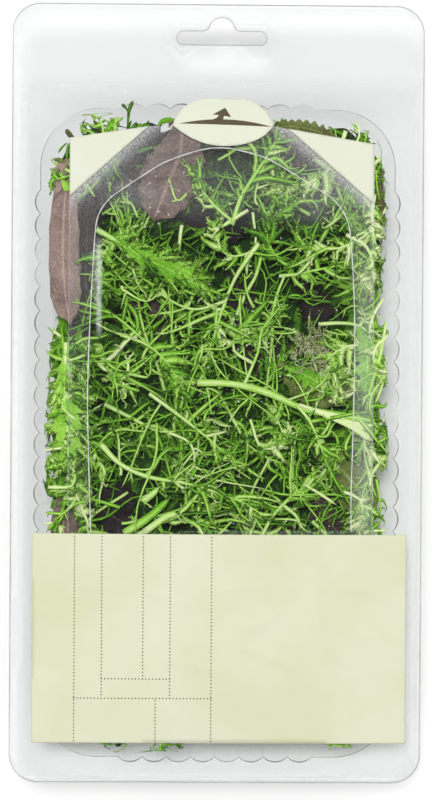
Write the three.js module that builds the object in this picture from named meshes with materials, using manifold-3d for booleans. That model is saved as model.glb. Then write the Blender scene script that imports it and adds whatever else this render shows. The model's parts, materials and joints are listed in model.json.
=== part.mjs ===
// A sealed retail pack of frilly mustard leaves, lying on the floor of its tray.
// The tray is one thermoformed sheet with a wide flange, fluted walls and a hang slot. A clear film closes
// it, and a label lies on the film: a clear window with cream corners and a grip tab, above a cream panel.
// The leaves lie loose in the tray, one over the other, pressed lightly against the film.
//
// Millimetres. +Z is up, +Y points to the hang slot, and the origin is under the middle of the pack,
// on the surface that it lies on.
import * as THREE from "three";
import { mergeVertices } from "three/addons/utils/BufferGeometryUtils.js";
import Module from "manifold-3d";

const wasm = await Module();
wasm.setup();

// Pack
const PACK = { width: 146, length: 276, corner: 10 };
const TRAY_HEIGHT = 45;
const TRAY_SHEET = 0.8;
const CLEARANCE = 0.3; // between sheets that touch
const DIE_CUT = 0.5; // width of a cut line

// Cavity of the tray, measured at its rim
const CAVITY = { width: 126, length: 230, corner: 21, centreY: -14 };
const WALL_LEAN = 7; // how far the wall leans in on its way down
const WALL_FOOT = 4; // height of the bevel between wall and floor
const CORNER_STEPS = 5;
const FLUTE = { pitch: 8.6, depth: 1.8, alongSide: 20, acrossEnd: 8 };
const FOOT = { width: 8, slope: 1.5, recess: 1.6 }; // rim of the floor that the tray stands on

// Hang slot: a round-ended bar with a hump over its middle, a little right of the pack's middle
const SLOT = { x: 1, halfLength: 16, bottomY: 123.6, barHeight: 4.9, humpRadius: 4.6, humpY: 128.7, flare: 7.8 };

// Film and label
const FILM = 0.5;
const LABEL = 0.4;
const DOME = 3; // how far the leaves push the film up in the middle
const LABEL_LEFT = -52.5;
const LABEL_RIGHT = 55.3;
const PANEL = { left: -65.1, right: 67.6, bottom: -123.8, top: -49.6 };
const ARCH = { left: -45, right: 48.2, legBottom: -55, shoulderY: 52, topY: 87 };
const TAB = { left: -16.3, right: 19.5, y: 95, bottom: 87.6, top: 104.6 };
const SEAL_LEFT = { outer: [LABEL_LEFT, 90.3], inner: [-24.5, 94.6], lower: [LABEL_LEFT, 69.6] };
const SEAL_RIGHT = { outer: [LABEL_RIGHT, 88.8], inner: [24.6, 94], lower: [LABEL_RIGHT, 67.5] };

// Leaves
const LAYERS = 15; // leaves in one layer don't cross, and layers don't meet
const HAND_LAID_FROM = 10; // this layer and those over it are laid leaf by leaf
const FLOOR_TOP = TRAY_SHEET + FOOT.recess + 0.6;
const SWAY = 0.9; // how far the layers rise and dip together
const MOST_RISE = 1; // how far a leaf reaches from the middle of its layer
const WALL_GAP = 1.2;
const STALK_STEP = 9;
const STALK_THICK = 0.9; // half the thickness of a stalk at its cut end
const BLADE_THICK = 0.32; // half the thickness of a blade at its edge
const LOBE_CURL = 0.22; // how far a lobe curves towards the tip, as a share of its length
const LOBE_TIP = 0.8; // width of a lobe just before its tip
const TIP_GAP = 0.05; // share of the rib that carries no lobes at its tip

const COLOURS = {
  clear: { color: 0xe9eeee, roughness: 0.12, metalness: 0, transparent: true, opacity: 0.3 },
  cream: { color: 0xe2e6c4, roughness: 0.6, metalness: 0 },
  green: { color: 0x5a9b2c, roughness: 0.5, metalness: 0 },
  deepGreen: { color: 0x35661c, roughness: 0.5, metalness: 0 },
  pale: { color: 0x9cc85c, roughness: 0.45, metalness: 0 },
  purple: { color: 0x5d4a50, roughness: 0.6, metalness: 0 },
};

const lerp = THREE.MathUtils.lerp;
const range = (first, last) => Array.from({ length: last - first + 1 }, (_, i) => first + i);
const radians = THREE.MathUtils.degToRad;

// A fixed number from 0 to 1 for each pair of a leaf's seed and a count.
function chance(seed, count) {
  const wave = Math.sin(seed * 12.9898 + count * 78.233) * 43758.5453;
  return wave - Math.floor(wave);
}

// Closed meshes

// Collects triangles of 3-D points and closes them into one mesh.
class Skin {
  corners = [];

  face(a, b, c) {
    this.corners.push(...a, ...b, ...c);
  }

  // The wall between an upper and a lower loop that run counter-clockwise, facing out.
  wall(upper, lower, inward = false) {
    upper.forEach((a, i) => {
      const next = (i + 1) % upper.length;
      const [b, c, d] = [lower[i], lower[next], upper[next]];
      if (inward) {
        this.face(a, c, b);
        this.face(a, d, c);
      } else {
        this.face(a, b, c);
        this.face(a, c, d);
      }
    });
  }

  // A flat face inside a loop and around its holes, facing up or down.
  sheet(loop, holes, z, up) {
    const all = [loop, ...holes].flat();
    const flat = triangulate(loop, holes);
    for (const [a, b, c] of flat) {
      const [p, q, r] = [a, up ? b : c, up ? c : b].map((i) => [all[i][0], all[i][1], z]);
      this.face(p, q, r);
    }
  }

  geometry() {
    const made = new THREE.BufferGeometry();
    made.setAttribute("position", new THREE.Float32BufferAttribute(this.corners, 3));
    return mergeVertices(made, 1e-3);
  }
}

// Over zero where the way from o by a to b turns left.
const turn = (o, a, b) => (a.x - o.x) * (b.y - o.y) - (a.y - o.y) * (b.x - o.x);

// Counter-clockwise triangles of a counter-clockwise loop with holes, as indices of all their points.
function triangulate(loop, holes = []) {
  const vectors = (points) => points.map(([x, y]) => new THREE.Vector2(x, y));
  const rings = [vectors(loop), ...holes.map(vectors)];
  const all = rings.flat();
  return THREE.ShapeUtils.triangulateShape(rings[0], rings.slice(1)).map(([a, b, c]) => {
    return turn(all[a], all[b], all[c]) > 0 ? [a, b, c] : [a, c, b];
  });
}

// A sheet of uneven thickness: points {x, y, top, bottom}, and triangles of them seen from above.
function slab(points, triangles) {
  const skin = new Skin();
  const top = points.map((p) => [p.x, p.y, p.top]);
  const bottom = points.map((p) => [p.x, p.y, p.bottom]);
  const edges = new Set(triangles.flatMap(([a, b, c]) => [`${a},${b}`, `${b},${c}`, `${c},${a}`]));
  for (const [a, b, c] of triangles) {
    skin.face(top[a], top[b], top[c]);
    skin.face(bottom[a], bottom[c], bottom[b]);
    for (const [from, to] of [[a, b], [b, c], [c, a]]) {
      if (edges.has(`${to},${from}`)) continue;
      skin.face(top[from], bottom[from], bottom[to]);
      skin.face(top[from], bottom[to], top[to]);
    }
  }
  return skin.geometry();
}

function toSolid(geometry) {
  const closed = geometry.clone();
  closed.deleteAttribute("normal");
  closed.deleteAttribute("uv");
  const merged = mergeVertices(closed, 1e-3);
  return new wasm.Manifold(
    new wasm.Mesh({
      numProp: 3,
      vertProperties: merged.attributes.position.array,
      triVerts: new Uint32Array(merged.index.array),
    }),
  );
}

function toGeometry(solid) {
  const mesh = solid.getMesh();
  const made = new THREE.BufferGeometry();
  made.setAttribute("position", new THREE.BufferAttribute(mesh.vertProperties, 3));
  made.setIndex(new THREE.BufferAttribute(mesh.triVerts, 1));
  return made;
}

// Tray

// A rounded rectangle, counter-clockwise from the foot of its right side. Flutes bulge out of its straight
// sides, and an inset loop keeps its points beside those of the loop it is inset from.
function roundedLoop({ width, length, corner, centreY = 0 }, inset = 0, fluteDepth = 0) {
  const across = width / 2 - corner;
  const along = length / 2 - corner;
  const radius = corner - inset;
  const loop = [];
  for (let side = 0; side < 4; side++) {
    const turned = (side * Math.PI) / 2;
    const [cos, sin] = [Math.round(Math.cos(turned)), Math.round(Math.sin(turned))];
    const [reach, half] = side % 2 ? [along, across] : [across, along];
    const place = (out, forward) => {
      loop.push([out * cos - forward * sin, out * sin + forward * cos + centreY]);
    };
    const edge = reach + radius;
    const flutes = fluteDepth ? (side % 2 ? FLUTE.acrossEnd : FLUTE.alongSide) : 0;
    const start = (-flutes * FLUTE.pitch) / 2;
    place(edge, -half);
    for (let i = 0; i < flutes; i++) {
      const foot = start + i * FLUTE.pitch;
      place(edge, foot);
      place(edge + fluteDepth, foot + 0.3 * FLUTE.pitch);
      place(edge + fluteDepth, foot + 0.7 * FLUTE.pitch);
    }
    if (flutes) place(edge, -start);
    for (let i = 0; i < CORNER_STEPS; i++) {
      const angle = (i * Math.PI) / 2 / CORNER_STEPS;
      place(reach + radius * Math.cos(angle), half + radius * Math.sin(angle));
    }
  }
  return loop;
}

const atHeight = (loop, z) => loop.map(([x, y]) => [x, y, z]);

function slotLoop() {
  const { halfLength, bottomY, barHeight, humpRadius, humpY, flare } = SLOT;
  const end = barHeight / 2;
  const topY = bottomY + barHeight;
  const lift = radians(22);
  const [humpX, humpFoot] = [humpRadius * Math.cos(lift), humpY + humpRadius * Math.sin(lift)];
  const shape = new THREE.Shape();
  shape.moveTo(-halfLength + end, bottomY);
  shape.lineTo(halfLength - end, bottomY);
  shape.absarc(halfLength - end, bottomY + end, end, -Math.PI / 2, Math.PI / 2);
  shape.lineTo(flare, topY);
  shape.quadraticCurveTo(humpX + 0.2, topY, humpX, humpFoot);
  shape.absarc(0, humpY, humpRadius, lift, Math.PI - lift);
  shape.quadraticCurveTo(-humpX - 0.2, topY, -flare, topY);
  shape.lineTo(-halfLength + end, topY);
  shape.absarc(-halfLength + end, bottomY + end, end, Math.PI / 2, (3 * Math.PI) / 2);
  return distinct(shape.getPoints(4).map(({ x, y }) => [x + SLOT.x, y]));
}

// A loop without the points that repeat the one before them.
function distinct(loop) {
  const apart = ([ax, ay], [bx, by]) => Math.hypot(ax - bx, ay - by) > 1e-3;
  return loop.filter((point, i) => apart(point, loop[(i + loop.length - 1) % loop.length]));
}

function tray() {
  const flangeTop = TRAY_HEIGHT;
  const flangeUnder = TRAY_HEIGHT - TRAY_SHEET;
  const outline = roundedLoop(PACK);
  const slot = slotLoop();
  const wallLoop = (inset, flutes = 1) => roundedLoop(CAVITY, inset, FLUTE.depth * flutes);
  const footIn = WALL_LEAN + WALL_FOOT;
  const plain = (inset) => roundedLoop(CAVITY, inset);

  const skin = new Skin();
  const outerRim = wallLoop(0);
  const innerRim = wallLoop(TRAY_SHEET);
  skin.sheet(outline, [slot, innerRim], flangeTop, true);
  skin.sheet(outline, [slot, outerRim], flangeUnder, false);
  skin.wall(atHeight(outline, flangeTop), atHeight(outline, flangeUnder));
  skin.wall(atHeight(slot, flangeTop), atHeight(slot, flangeUnder), true);

  // The cup's outside, then its inside: wall, bevel, floor rim, slope and recessed panel.
  for (const inward of [false, true]) {
    const shift = inward ? TRAY_SHEET : 0;
    const rim = atHeight(inward ? innerRim : outerRim, inward ? flangeTop : flangeUnder);
    const wallFoot = atHeight(wallLoop(WALL_LEAN + shift), WALL_FOOT + shift);
    const floorEdge = wallLoop(footIn + shift / 2, 0.4);
    const floor = atHeight(floorEdge, shift);
    const footInner = plain(footIn + FOOT.width);
    const recessLoop = plain(footIn + FOOT.width + FOOT.slope);
    const recess = FOOT.recess + shift;
    skin.wall(rim, wallFoot, inward);
    skin.wall(wallFoot, floor, inward);
    skin.sheet(floorEdge, [footInner], shift, inward);
    skin.wall(atHeight(footInner, shift), atHeight(recessLoop, recess), inward);
    skin.sheet(recessLoop, [], recess, inward);
  }
  return skin.geometry();
}

// Film and label

// How far the leaves push the film up at a point of the pack.
function dome(x, y) {
  const across = Math.min(1, (2 * Math.abs(x)) / CAVITY.width);
  const along = Math.min(1, (2 * Math.abs(y - CAVITY.centreY)) / CAVITY.length);
  return DOME * (1 - across ** 2) * (1 - along ** 4);
}

// A sheet over the whole pack that follows the dome. All such sheets have the same facets.
function domedSheet(under, thickness) {
  const half = CAVITY.width / 2;
  const columns = [-PACK.width / 2 - 1, -half, -half / 2, 0, half / 2, half, PACK.width / 2 + 1];
  const rows = [-PACK.length / 2 - 1];
  const steps = 7;
  for (let i = 0; i <= steps; i++) rows.push(CAVITY.centreY + CAVITY.length * (i / steps - 0.5));
  rows.push(PACK.length / 2 + 1);
  const points = rows.flatMap((y) =>
    columns.map((x) => ({ x, y, bottom: under + dome(x, y), top: under + thickness + dome(x, y) })),
  );
  const triangles = [];
  for (let row = 0; row + 1 < rows.length; row++) {
    for (let column = 0; column + 1 < columns.length; column++) {
      const a = row * columns.length + column;
      const c = a + columns.length;
      triangles.push([a, a + 1, c + 1], [a, c + 1, c]);
    }
  }
  return toSolid(slab(points, triangles));
}

const PRISM = { from: TRAY_HEIGHT - 5, height: 20 };

// A straight-sided block over an outline, that trims a domed sheet to it.
function prism(loop) {
  const shape = new THREE.Shape(loop.map(([x, y]) => new THREE.Vector2(x, y)));
  const block = new THREE.ExtrudeGeometry(shape, { depth: PRISM.height, bevelEnabled: false });
  return toSolid(block.translate(0, 0, PRISM.from));
}

// The arched line along which the reseal flap is cut, from the foot of its left leg to that of its right.
function archLine() {
  const { left, right, legBottom, shoulderY, topY } = ARCH;
  const middle = (left + right) / 2;
  const cheek = 22; // how far each side of the arch stays nearly level at its top
  const path = new THREE.Path();
  path.moveTo(left, legBottom);
  path.lineTo(left, shoulderY);
  path.bezierCurveTo(left, shoulderY + 18, middle - cheek, topY - 0.5, middle, topY);
  path.bezierCurveTo(middle + cheek, topY - 0.5, right, shoulderY + 18, right, shoulderY);
  path.lineTo(right, legBottom);
  return distinct(path.getPoints(6).map(({ x, y }) => [x, y]));
}

// A line widened into a narrow closed loop.
function strip(line, width) {
  const side = (offset) =>
    line.map(([x, y], i) => {
      const [ax, ay] = line[Math.max(0, i - 1)];
      const [bx, by] = line[Math.min(line.length - 1, i + 1)];
      const length = Math.hypot(bx - ax, by - ay);
      return [x - ((by - ay) / length) * offset, y + ((bx - ax) / length) * offset];
    });
  return [...side(-width / 2), ...side(width / 2).reverse()];
}

function lidFilm() {
  const sheet = domedSheet(TRAY_HEIGHT + CLEARANCE, FILM);
  const trimmed = sheet.intersect(prism(roundedLoop(PACK)));
  const cut = trimmed.subtract(prism(slotLoop())).subtract(prism(strip(archLine(), DIE_CUT)));
  return toGeometry(cut);
}

const LABEL_UNDER = TRAY_HEIGHT + CLEARANCE + FILM + CLEARANCE;

function labelPiece(loop) {
  return toGeometry(domedSheet(LABEL_UNDER, LABEL).intersect(prism(loop)));
}

// The grip tab: a rounded cap above the label's edge, and a shallow bowl below it.
function tabLoop(grow = 0) {
  const { left, right, y, bottom, top } = TAB;
  const middle = (left + right) / 2;
  const shape = new THREE.Shape();
  shape.moveTo(left - grow, y);
  shape.quadraticCurveTo(left + 8.5, bottom - grow, middle, bottom - grow);
  shape.quadraticCurveTo(right - 5, bottom - grow, right + grow, y);
  shape.quadraticCurveTo(right - 3, top - 0.6, middle + 6, top);
  shape.lineTo(middle - 6, top);
  shape.quadraticCurveTo(left + 3, top - 0.6, left - grow, y);
  return distinct(shape.getPoints(5).map(({ x, y: height }) => [x, height]));
}

function sealLoop({ outer, inner, lower }) {
  const loop = [outer, lower, inner];
  return outer[0] < 0 ? loop : loop.reverse();
}

// The clear window: its upper corners are cut off for the seals, and its top edge makes room for the tab.
function windowLoop() {
  const gap = DIE_CUT;
  const tab = tabLoop(gap).filter(([, y]) => y <= TAB.y + 0.01);
  const bowl = tab.sort(([a], [b]) => b - a);
  return [
    [LABEL_LEFT, PANEL.top + gap],
    [LABEL_RIGHT, PANEL.top + gap],
    [LABEL_RIGHT, SEAL_RIGHT.lower[1] - gap],
    [SEAL_RIGHT.inner[0] - gap, SEAL_RIGHT.inner[1] - gap / 2],
    ...bowl,
    [SEAL_LEFT.inner[0] + gap, SEAL_LEFT.inner[1] - gap / 2],
    [LABEL_LEFT, SEAL_LEFT.lower[1] - gap],
  ];
}

function panelLoop() {
  const { left, right, bottom, top } = PANEL;
  return [[left, bottom], [right, bottom], [right, top], [left, top]];
}

// Leaves

// The middle of a layer of leaves at a point: layers fill the space between the floor and the domed film.
function layerHeight(layer, x, y) {
  const share = (layer + 0.5) / LAYERS;
  const lid = TRAY_HEIGHT + CLEARANCE + dome(x, y) - 0.4;
  const sway = SWAY * Math.sin(Math.PI * share) * Math.sin(x / 23 + 0.6) * Math.cos(y / 31);
  return lerp(FLOOR_TOP, lid, share) + sway;
}

// How far from the middle of the cavity a leaf may reach at a layer, across and along.
function reach(layer) {
  const lean = WALL_LEAN * (1 - Math.max(0, layer) / (LAYERS - 1));
  const inset = TRAY_SHEET + WALL_GAP + lean;
  return [CAVITY.width / 2 - inset, CAVITY.length / 2 - inset, CAVITY.corner - inset];
}

// A point of a leaf, pulled in where it would reach the wall.
function inside(layer, x, y) {
  const [across, along, corner] = reach(layer);
  const centred = y - CAVITY.centreY;
  const cx = Math.max(0, Math.abs(x) - across + corner);
  const cy = Math.max(0, Math.abs(centred) - along + corner);
  const out = Math.hypot(cx, cy);
  if (out <= corner) return [x, y];
  const pull = corner / out;
  const back = (value, over) => Math.sign(value) * (Math.abs(value) - over * (1 - pull));
  return [back(x, cx), back(centred, cy) + CAVITY.centreY];
}

// A point of a leaf as the slab needs it, at its place in the layer.
function leafPoint(layer, { x, y, thick, lift = 0 }) {
  const [px, py] = inside(layer, x, y);
  const most = MOST_RISE - thick;
  const middle = layerHeight(layer, px, py) + THREE.MathUtils.clamp(lift, -most, most);
  return { x: px, y: py, top: middle + thick, bottom: middle - thick };
}

function ribCurve(rib) {
  const points = rib.map(([x, y]) => new THREE.Vector3(x, y, 0));
  return new THREE.CatmullRomCurve3(points, false, "catmullrom");
}

// A place on the rib: its point, its direction and the normal to its left.
function ribFrame(curve, t) {
  const share = THREE.MathUtils.clamp(t, 0, 1);
  const point = curve.getPoint(share);
  const along = curve.getTangent(share);
  return { point, along, left: new THREE.Vector3(-along.y, along.x, 0) };
}

// One side lobe of a frond, as outline points from its lower edge round its tip to its upper edge.
function lobeOutline(curve, ribLength, lobe) {
  const { t, side, length, angle, baseWidth, ribHalf, teeth, lift } = lobe;
  const { point, along, left } = ribFrame(curve, t);
  const out = left.clone().multiplyScalar(side);
  const direction = along.clone().multiplyScalar(Math.cos(angle)).addScaledVector(out, Math.sin(angle));
  const upper = along.clone().multiplyScalar(Math.sin(angle)).addScaledVector(out, -Math.cos(angle));
  const root = point.clone().addScaledVector(out, ribHalf);
  const axis = (s) => {
    const ahead = LOBE_CURL * length * s * s;
    return root.clone().addScaledVector(direction, length * s).addScaledVector(along, ahead);
  };
  const half = (s) => lerp(baseWidth, LOBE_TIP, s) / 2;
  const place = (at, s) => ({ x: at.x, y: at.y, thick: lerp(0.5, BLADE_THICK, s), lift: lift * s * s });
  const edge = (s, sign) => place(axis(s).addScaledVector(upper, sign * half(s)), s);
  const tooth = (s, sign, size) => {
    const tip = axis(s).addScaledVector(direction, size * 0.75).addScaledVector(upper, sign * size);
    return place(tip, Math.min(1, s + 0.2));
  };
  const rootEdge = (sign) => {
    const shift = (sign * baseWidth) / 2 / ribLength;
    const frame = ribFrame(curve, t + shift);
    return place(frame.point.addScaledVector(frame.left, side * ribHalf), 0);
  };
  const size = Math.min(0.26 * length, 3.2);
  const outline = [rootEdge(-1)];
  if (teeth > 0) outline.push(edge(0.36, -1), tooth(0.48, -1, size), edge(0.58, -1));
  outline.push(place(axis(1), 1));
  if (teeth > 1) outline.push(edge(0.74, 1), tooth(0.68, 1, size * 0.8), edge(0.54, 1));
  outline.push(rootEdge(1));
  return outline;
}

// The lobes of a frond, one pair in each step along its rib, the right one a little higher than the left.
function frondLobes({ pairs = 0, from = 0.35, length = 12, angle = 58, teeth = 1, seed = 1 }) {
  const step = (1 - TIP_GAP - from) / pairs;
  const lobes = [];
  for (let i = 0; i < pairs; i++) {
    for (const side of [1, -1]) {
      const count = i * 2 + (side > 0 ? 1 : 0);
      const t = from + step * (i + (side > 0 ? 0.28 : 0.72) + 0.1 * (chance(seed, count) - 0.5));
      const u = (t - from) / (1 - from);
      const swell = Math.sin(Math.PI * (0.2 + 0.68 * u)) ** 0.7;
      lobes.push({
        t,
        side,
        teeth,
        length: length * swell * (0.72 + 0.5 * chance(seed, count + 40)),
        angle: radians(angle * (1 - 0.3 * u) + 10 * (chance(seed, count + 80) - 0.5)),
        lift: 1.4 * (chance(seed, count + 120) - 0.5),
      });
    }
  }
  return lobes;
}

// Where a frond's outline is split across its rib: along the stalk, and before every second pair of lobes.
function ribSplits({ pairs = 0, from = 0.35 }, ribLength) {
  const stalkEnd = pairs ? from : 1;
  const stalkSteps = Math.ceil((stalkEnd * ribLength) / STALK_STEP);
  const splits = range(0, stalkSteps - 1).map((i) => (stalkEnd * i) / stalkSteps);
  for (let i = 0; i < pairs; i += 2) splits.push(from + ((1 - TIP_GAP - from) * i) / pairs);
  return splits;
}

// The points of a frond, up its right side and down its left, and its triangles.
function frondOutline(layer, spec, lobes) {
  const { rib, width = [2.6, 1], pairs = 0, from = 0.35 } = spec;
  const curve = ribCurve(rib);
  const ribLength = curve.getLength();
  const ribHalf = (t) => lerp(width[0], width[1], t) / 2;
  const ribPoint = (t, side) => {
    const { point, left } = ribFrame(curve, t);
    const at = point.addScaledVector(left, side * ribHalf(t));
    return { x: at.x, y: at.y, thick: lerp(STALK_THICK, 0.45, t) };
  };
  const baseWidth = Math.min(2.2, (0.4 * (1 - TIP_GAP - from) * ribLength) / Math.max(1, pairs));
  const drawn = lobes.map((lobe) => {
    const outline = lobeOutline(curve, ribLength, { ...lobe, baseWidth, ribHalf: ribHalf(lobe.t) });
    return { ...lobe, outline: outline.map((point) => ({ ...point, lobe })) };
  });
  const splits = ribSplits(spec, ribLength);
  const [right, left] = [-1, 1].map((side) => {
    const marks = [];
    const run = [];
    splits.forEach((start, k) => {
      const end = splits[k + 1] ?? 1;
      marks.push(run.length);
      run.push(ribPoint(start, side));
      const here = drawn.filter((lobe) => lobe.side === side && lobe.t > start && lobe.t < end);
      run.push(...here.flatMap(({ outline }) => outline));
    });
    marks.push(run.length);
    run.push(ribPoint(1, side));
    return { marks, run };
  });
  const { point, along } = ribFrame(curve, 1);
  const tip = point.addScaledVector(along, pairs ? 3 : 1);
  const loop = [...right.run, { x: tip.x, y: tip.y, thick: BLADE_THICK }, ...left.run.toReversed()];
  const points = loop.map((p) => ({ ...leafPoint(layer, p), lobe: p.lobe }));
  const last = points.length - 1;
  const stretches = splits.map((_, k) => [
    ...range(right.marks[k], right.marks[k + 1]),
    ...range(last - left.marks[k + 1], last - left.marks[k]),
  ]);
  stretches.push(range(right.marks.at(-1), last - left.marks.at(-1)));
  const triangles = stretches.flatMap((stretch) => {
    const flat = triangulate(stretch.map((i) => [points[i].x, points[i].y]));
    return flat.map((corners) => corners.map((i) => stretch[i]));
  });
  return { points, triangles };
}

// The lobes whose outline crosses another part of the loop.
function crossingLobes(points) {
  const found = new Set();
  const next = (i) => points[(i + 1) % points.length];
  points.forEach((a, i) => {
    for (let j = i + 2; j < points.length; j++) {
      const [b, c, d] = [next(i), points[j], next(j)];
      if (d === a || turn(a, b, c) * turn(a, b, d) >= 0 || turn(c, d, a) * turn(c, d, b) >= 0) continue;
      [a, b, c, d].forEach(({ lobe }) => lobe && found.add(lobe));
    }
  });
  return found;
}

// A leaf cut to its rib: a tapering stalk and rib with lobes on both sides, some of them toothed.
// Lobes that would cross are made shorter until they lie clear of each other.
function frond(layer, spec) {
  const lobes = spec.pairs ? frondLobes(spec) : [];
  let outline = frondOutline(layer, spec, lobes);
  let crossing = crossingLobes(outline.points);
  while (crossing.size) {
    for (const lobe of crossing) lobe.length *= 0.9;
    outline = frondOutline(layer, spec, lobes);
    crossing = crossingLobes(outline.points);
  }
  return slab(outline.points, outline.triangles);
}

// A leaf with a whole blade. Its margin is waved and toothed, and its rib is thicker than its edges.
function broadLeaf(layer, spec) {
  const { rib, halfWidth, stalk = 0.12, stalkWidth = 2.4, stations = 14, tooth = 0.1, slant = 0 } = spec;
  const { full = true, seed = 1 } = spec;
  const curve = ribCurve(rib);
  const columns = full ? [-1, -0.5, 0, 0.5, 1] : [-1, 0, 1];
  const step = curve.getLength() / stations;
  const points = [];
  for (let j = 0; j < stations; j++) {
    const t = j / stations;
    const { point, along, left } = ribFrame(curve, t);
    const u = Math.max(0, (t - stalk) / (1 - stalk));
    const swell = Math.sin(Math.PI * (0.05 + 0.9 * u) ** 1.15) ** 0.7;
    const blade = halfWidth * swell * (1 + (j % 2 ? tooth : -tooth));
    const half = t < stalk ? stalkWidth / 2 : Math.max(stalkWidth / 2, blade);
    for (const column of columns) {
      const at = point.clone().addScaledVector(left, -column * half);
      if (j % 2) at.addScaledVector(along, slant * step * Math.abs(column) * Math.min(1, half / halfWidth));
      const wave = Math.sin(1.3 * j + 2 * column + 6 * chance(seed, 1));
      const lift = t < stalk ? 0 : Math.abs(column) * 0.75 * wave;
      const thick = lerp(lerp(STALK_THICK, 0.5, t), BLADE_THICK, t < stalk ? 0 : Math.abs(column));
      points.push(leafPoint(layer, { x: at.x, y: at.y, thick, lift }));
    }
  }
  const end = ribFrame(curve, 1).point;
  points.push(leafPoint(layer, { x: end.x, y: end.y, thick: BLADE_THICK }));
  const triangles = [];
  const count = columns.length;
  for (let i = 0; i + 1 < count; i++) {
    for (let j = 0; j + 1 < stations; j++) {
      const a = j * count + i;
      const c = a + count;
      triangles.push([a, a + 1, c + 1], [a, c + 1, c]);
    }
    const last = (stations - 1) * count + i;
    triangles.push([last, last + 1, stations * count]);
  }
  return slab(points, triangles);
}

const CUT_MARGIN = { stations: 14, tooth: 0.22, slant: 0.7 };

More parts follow.
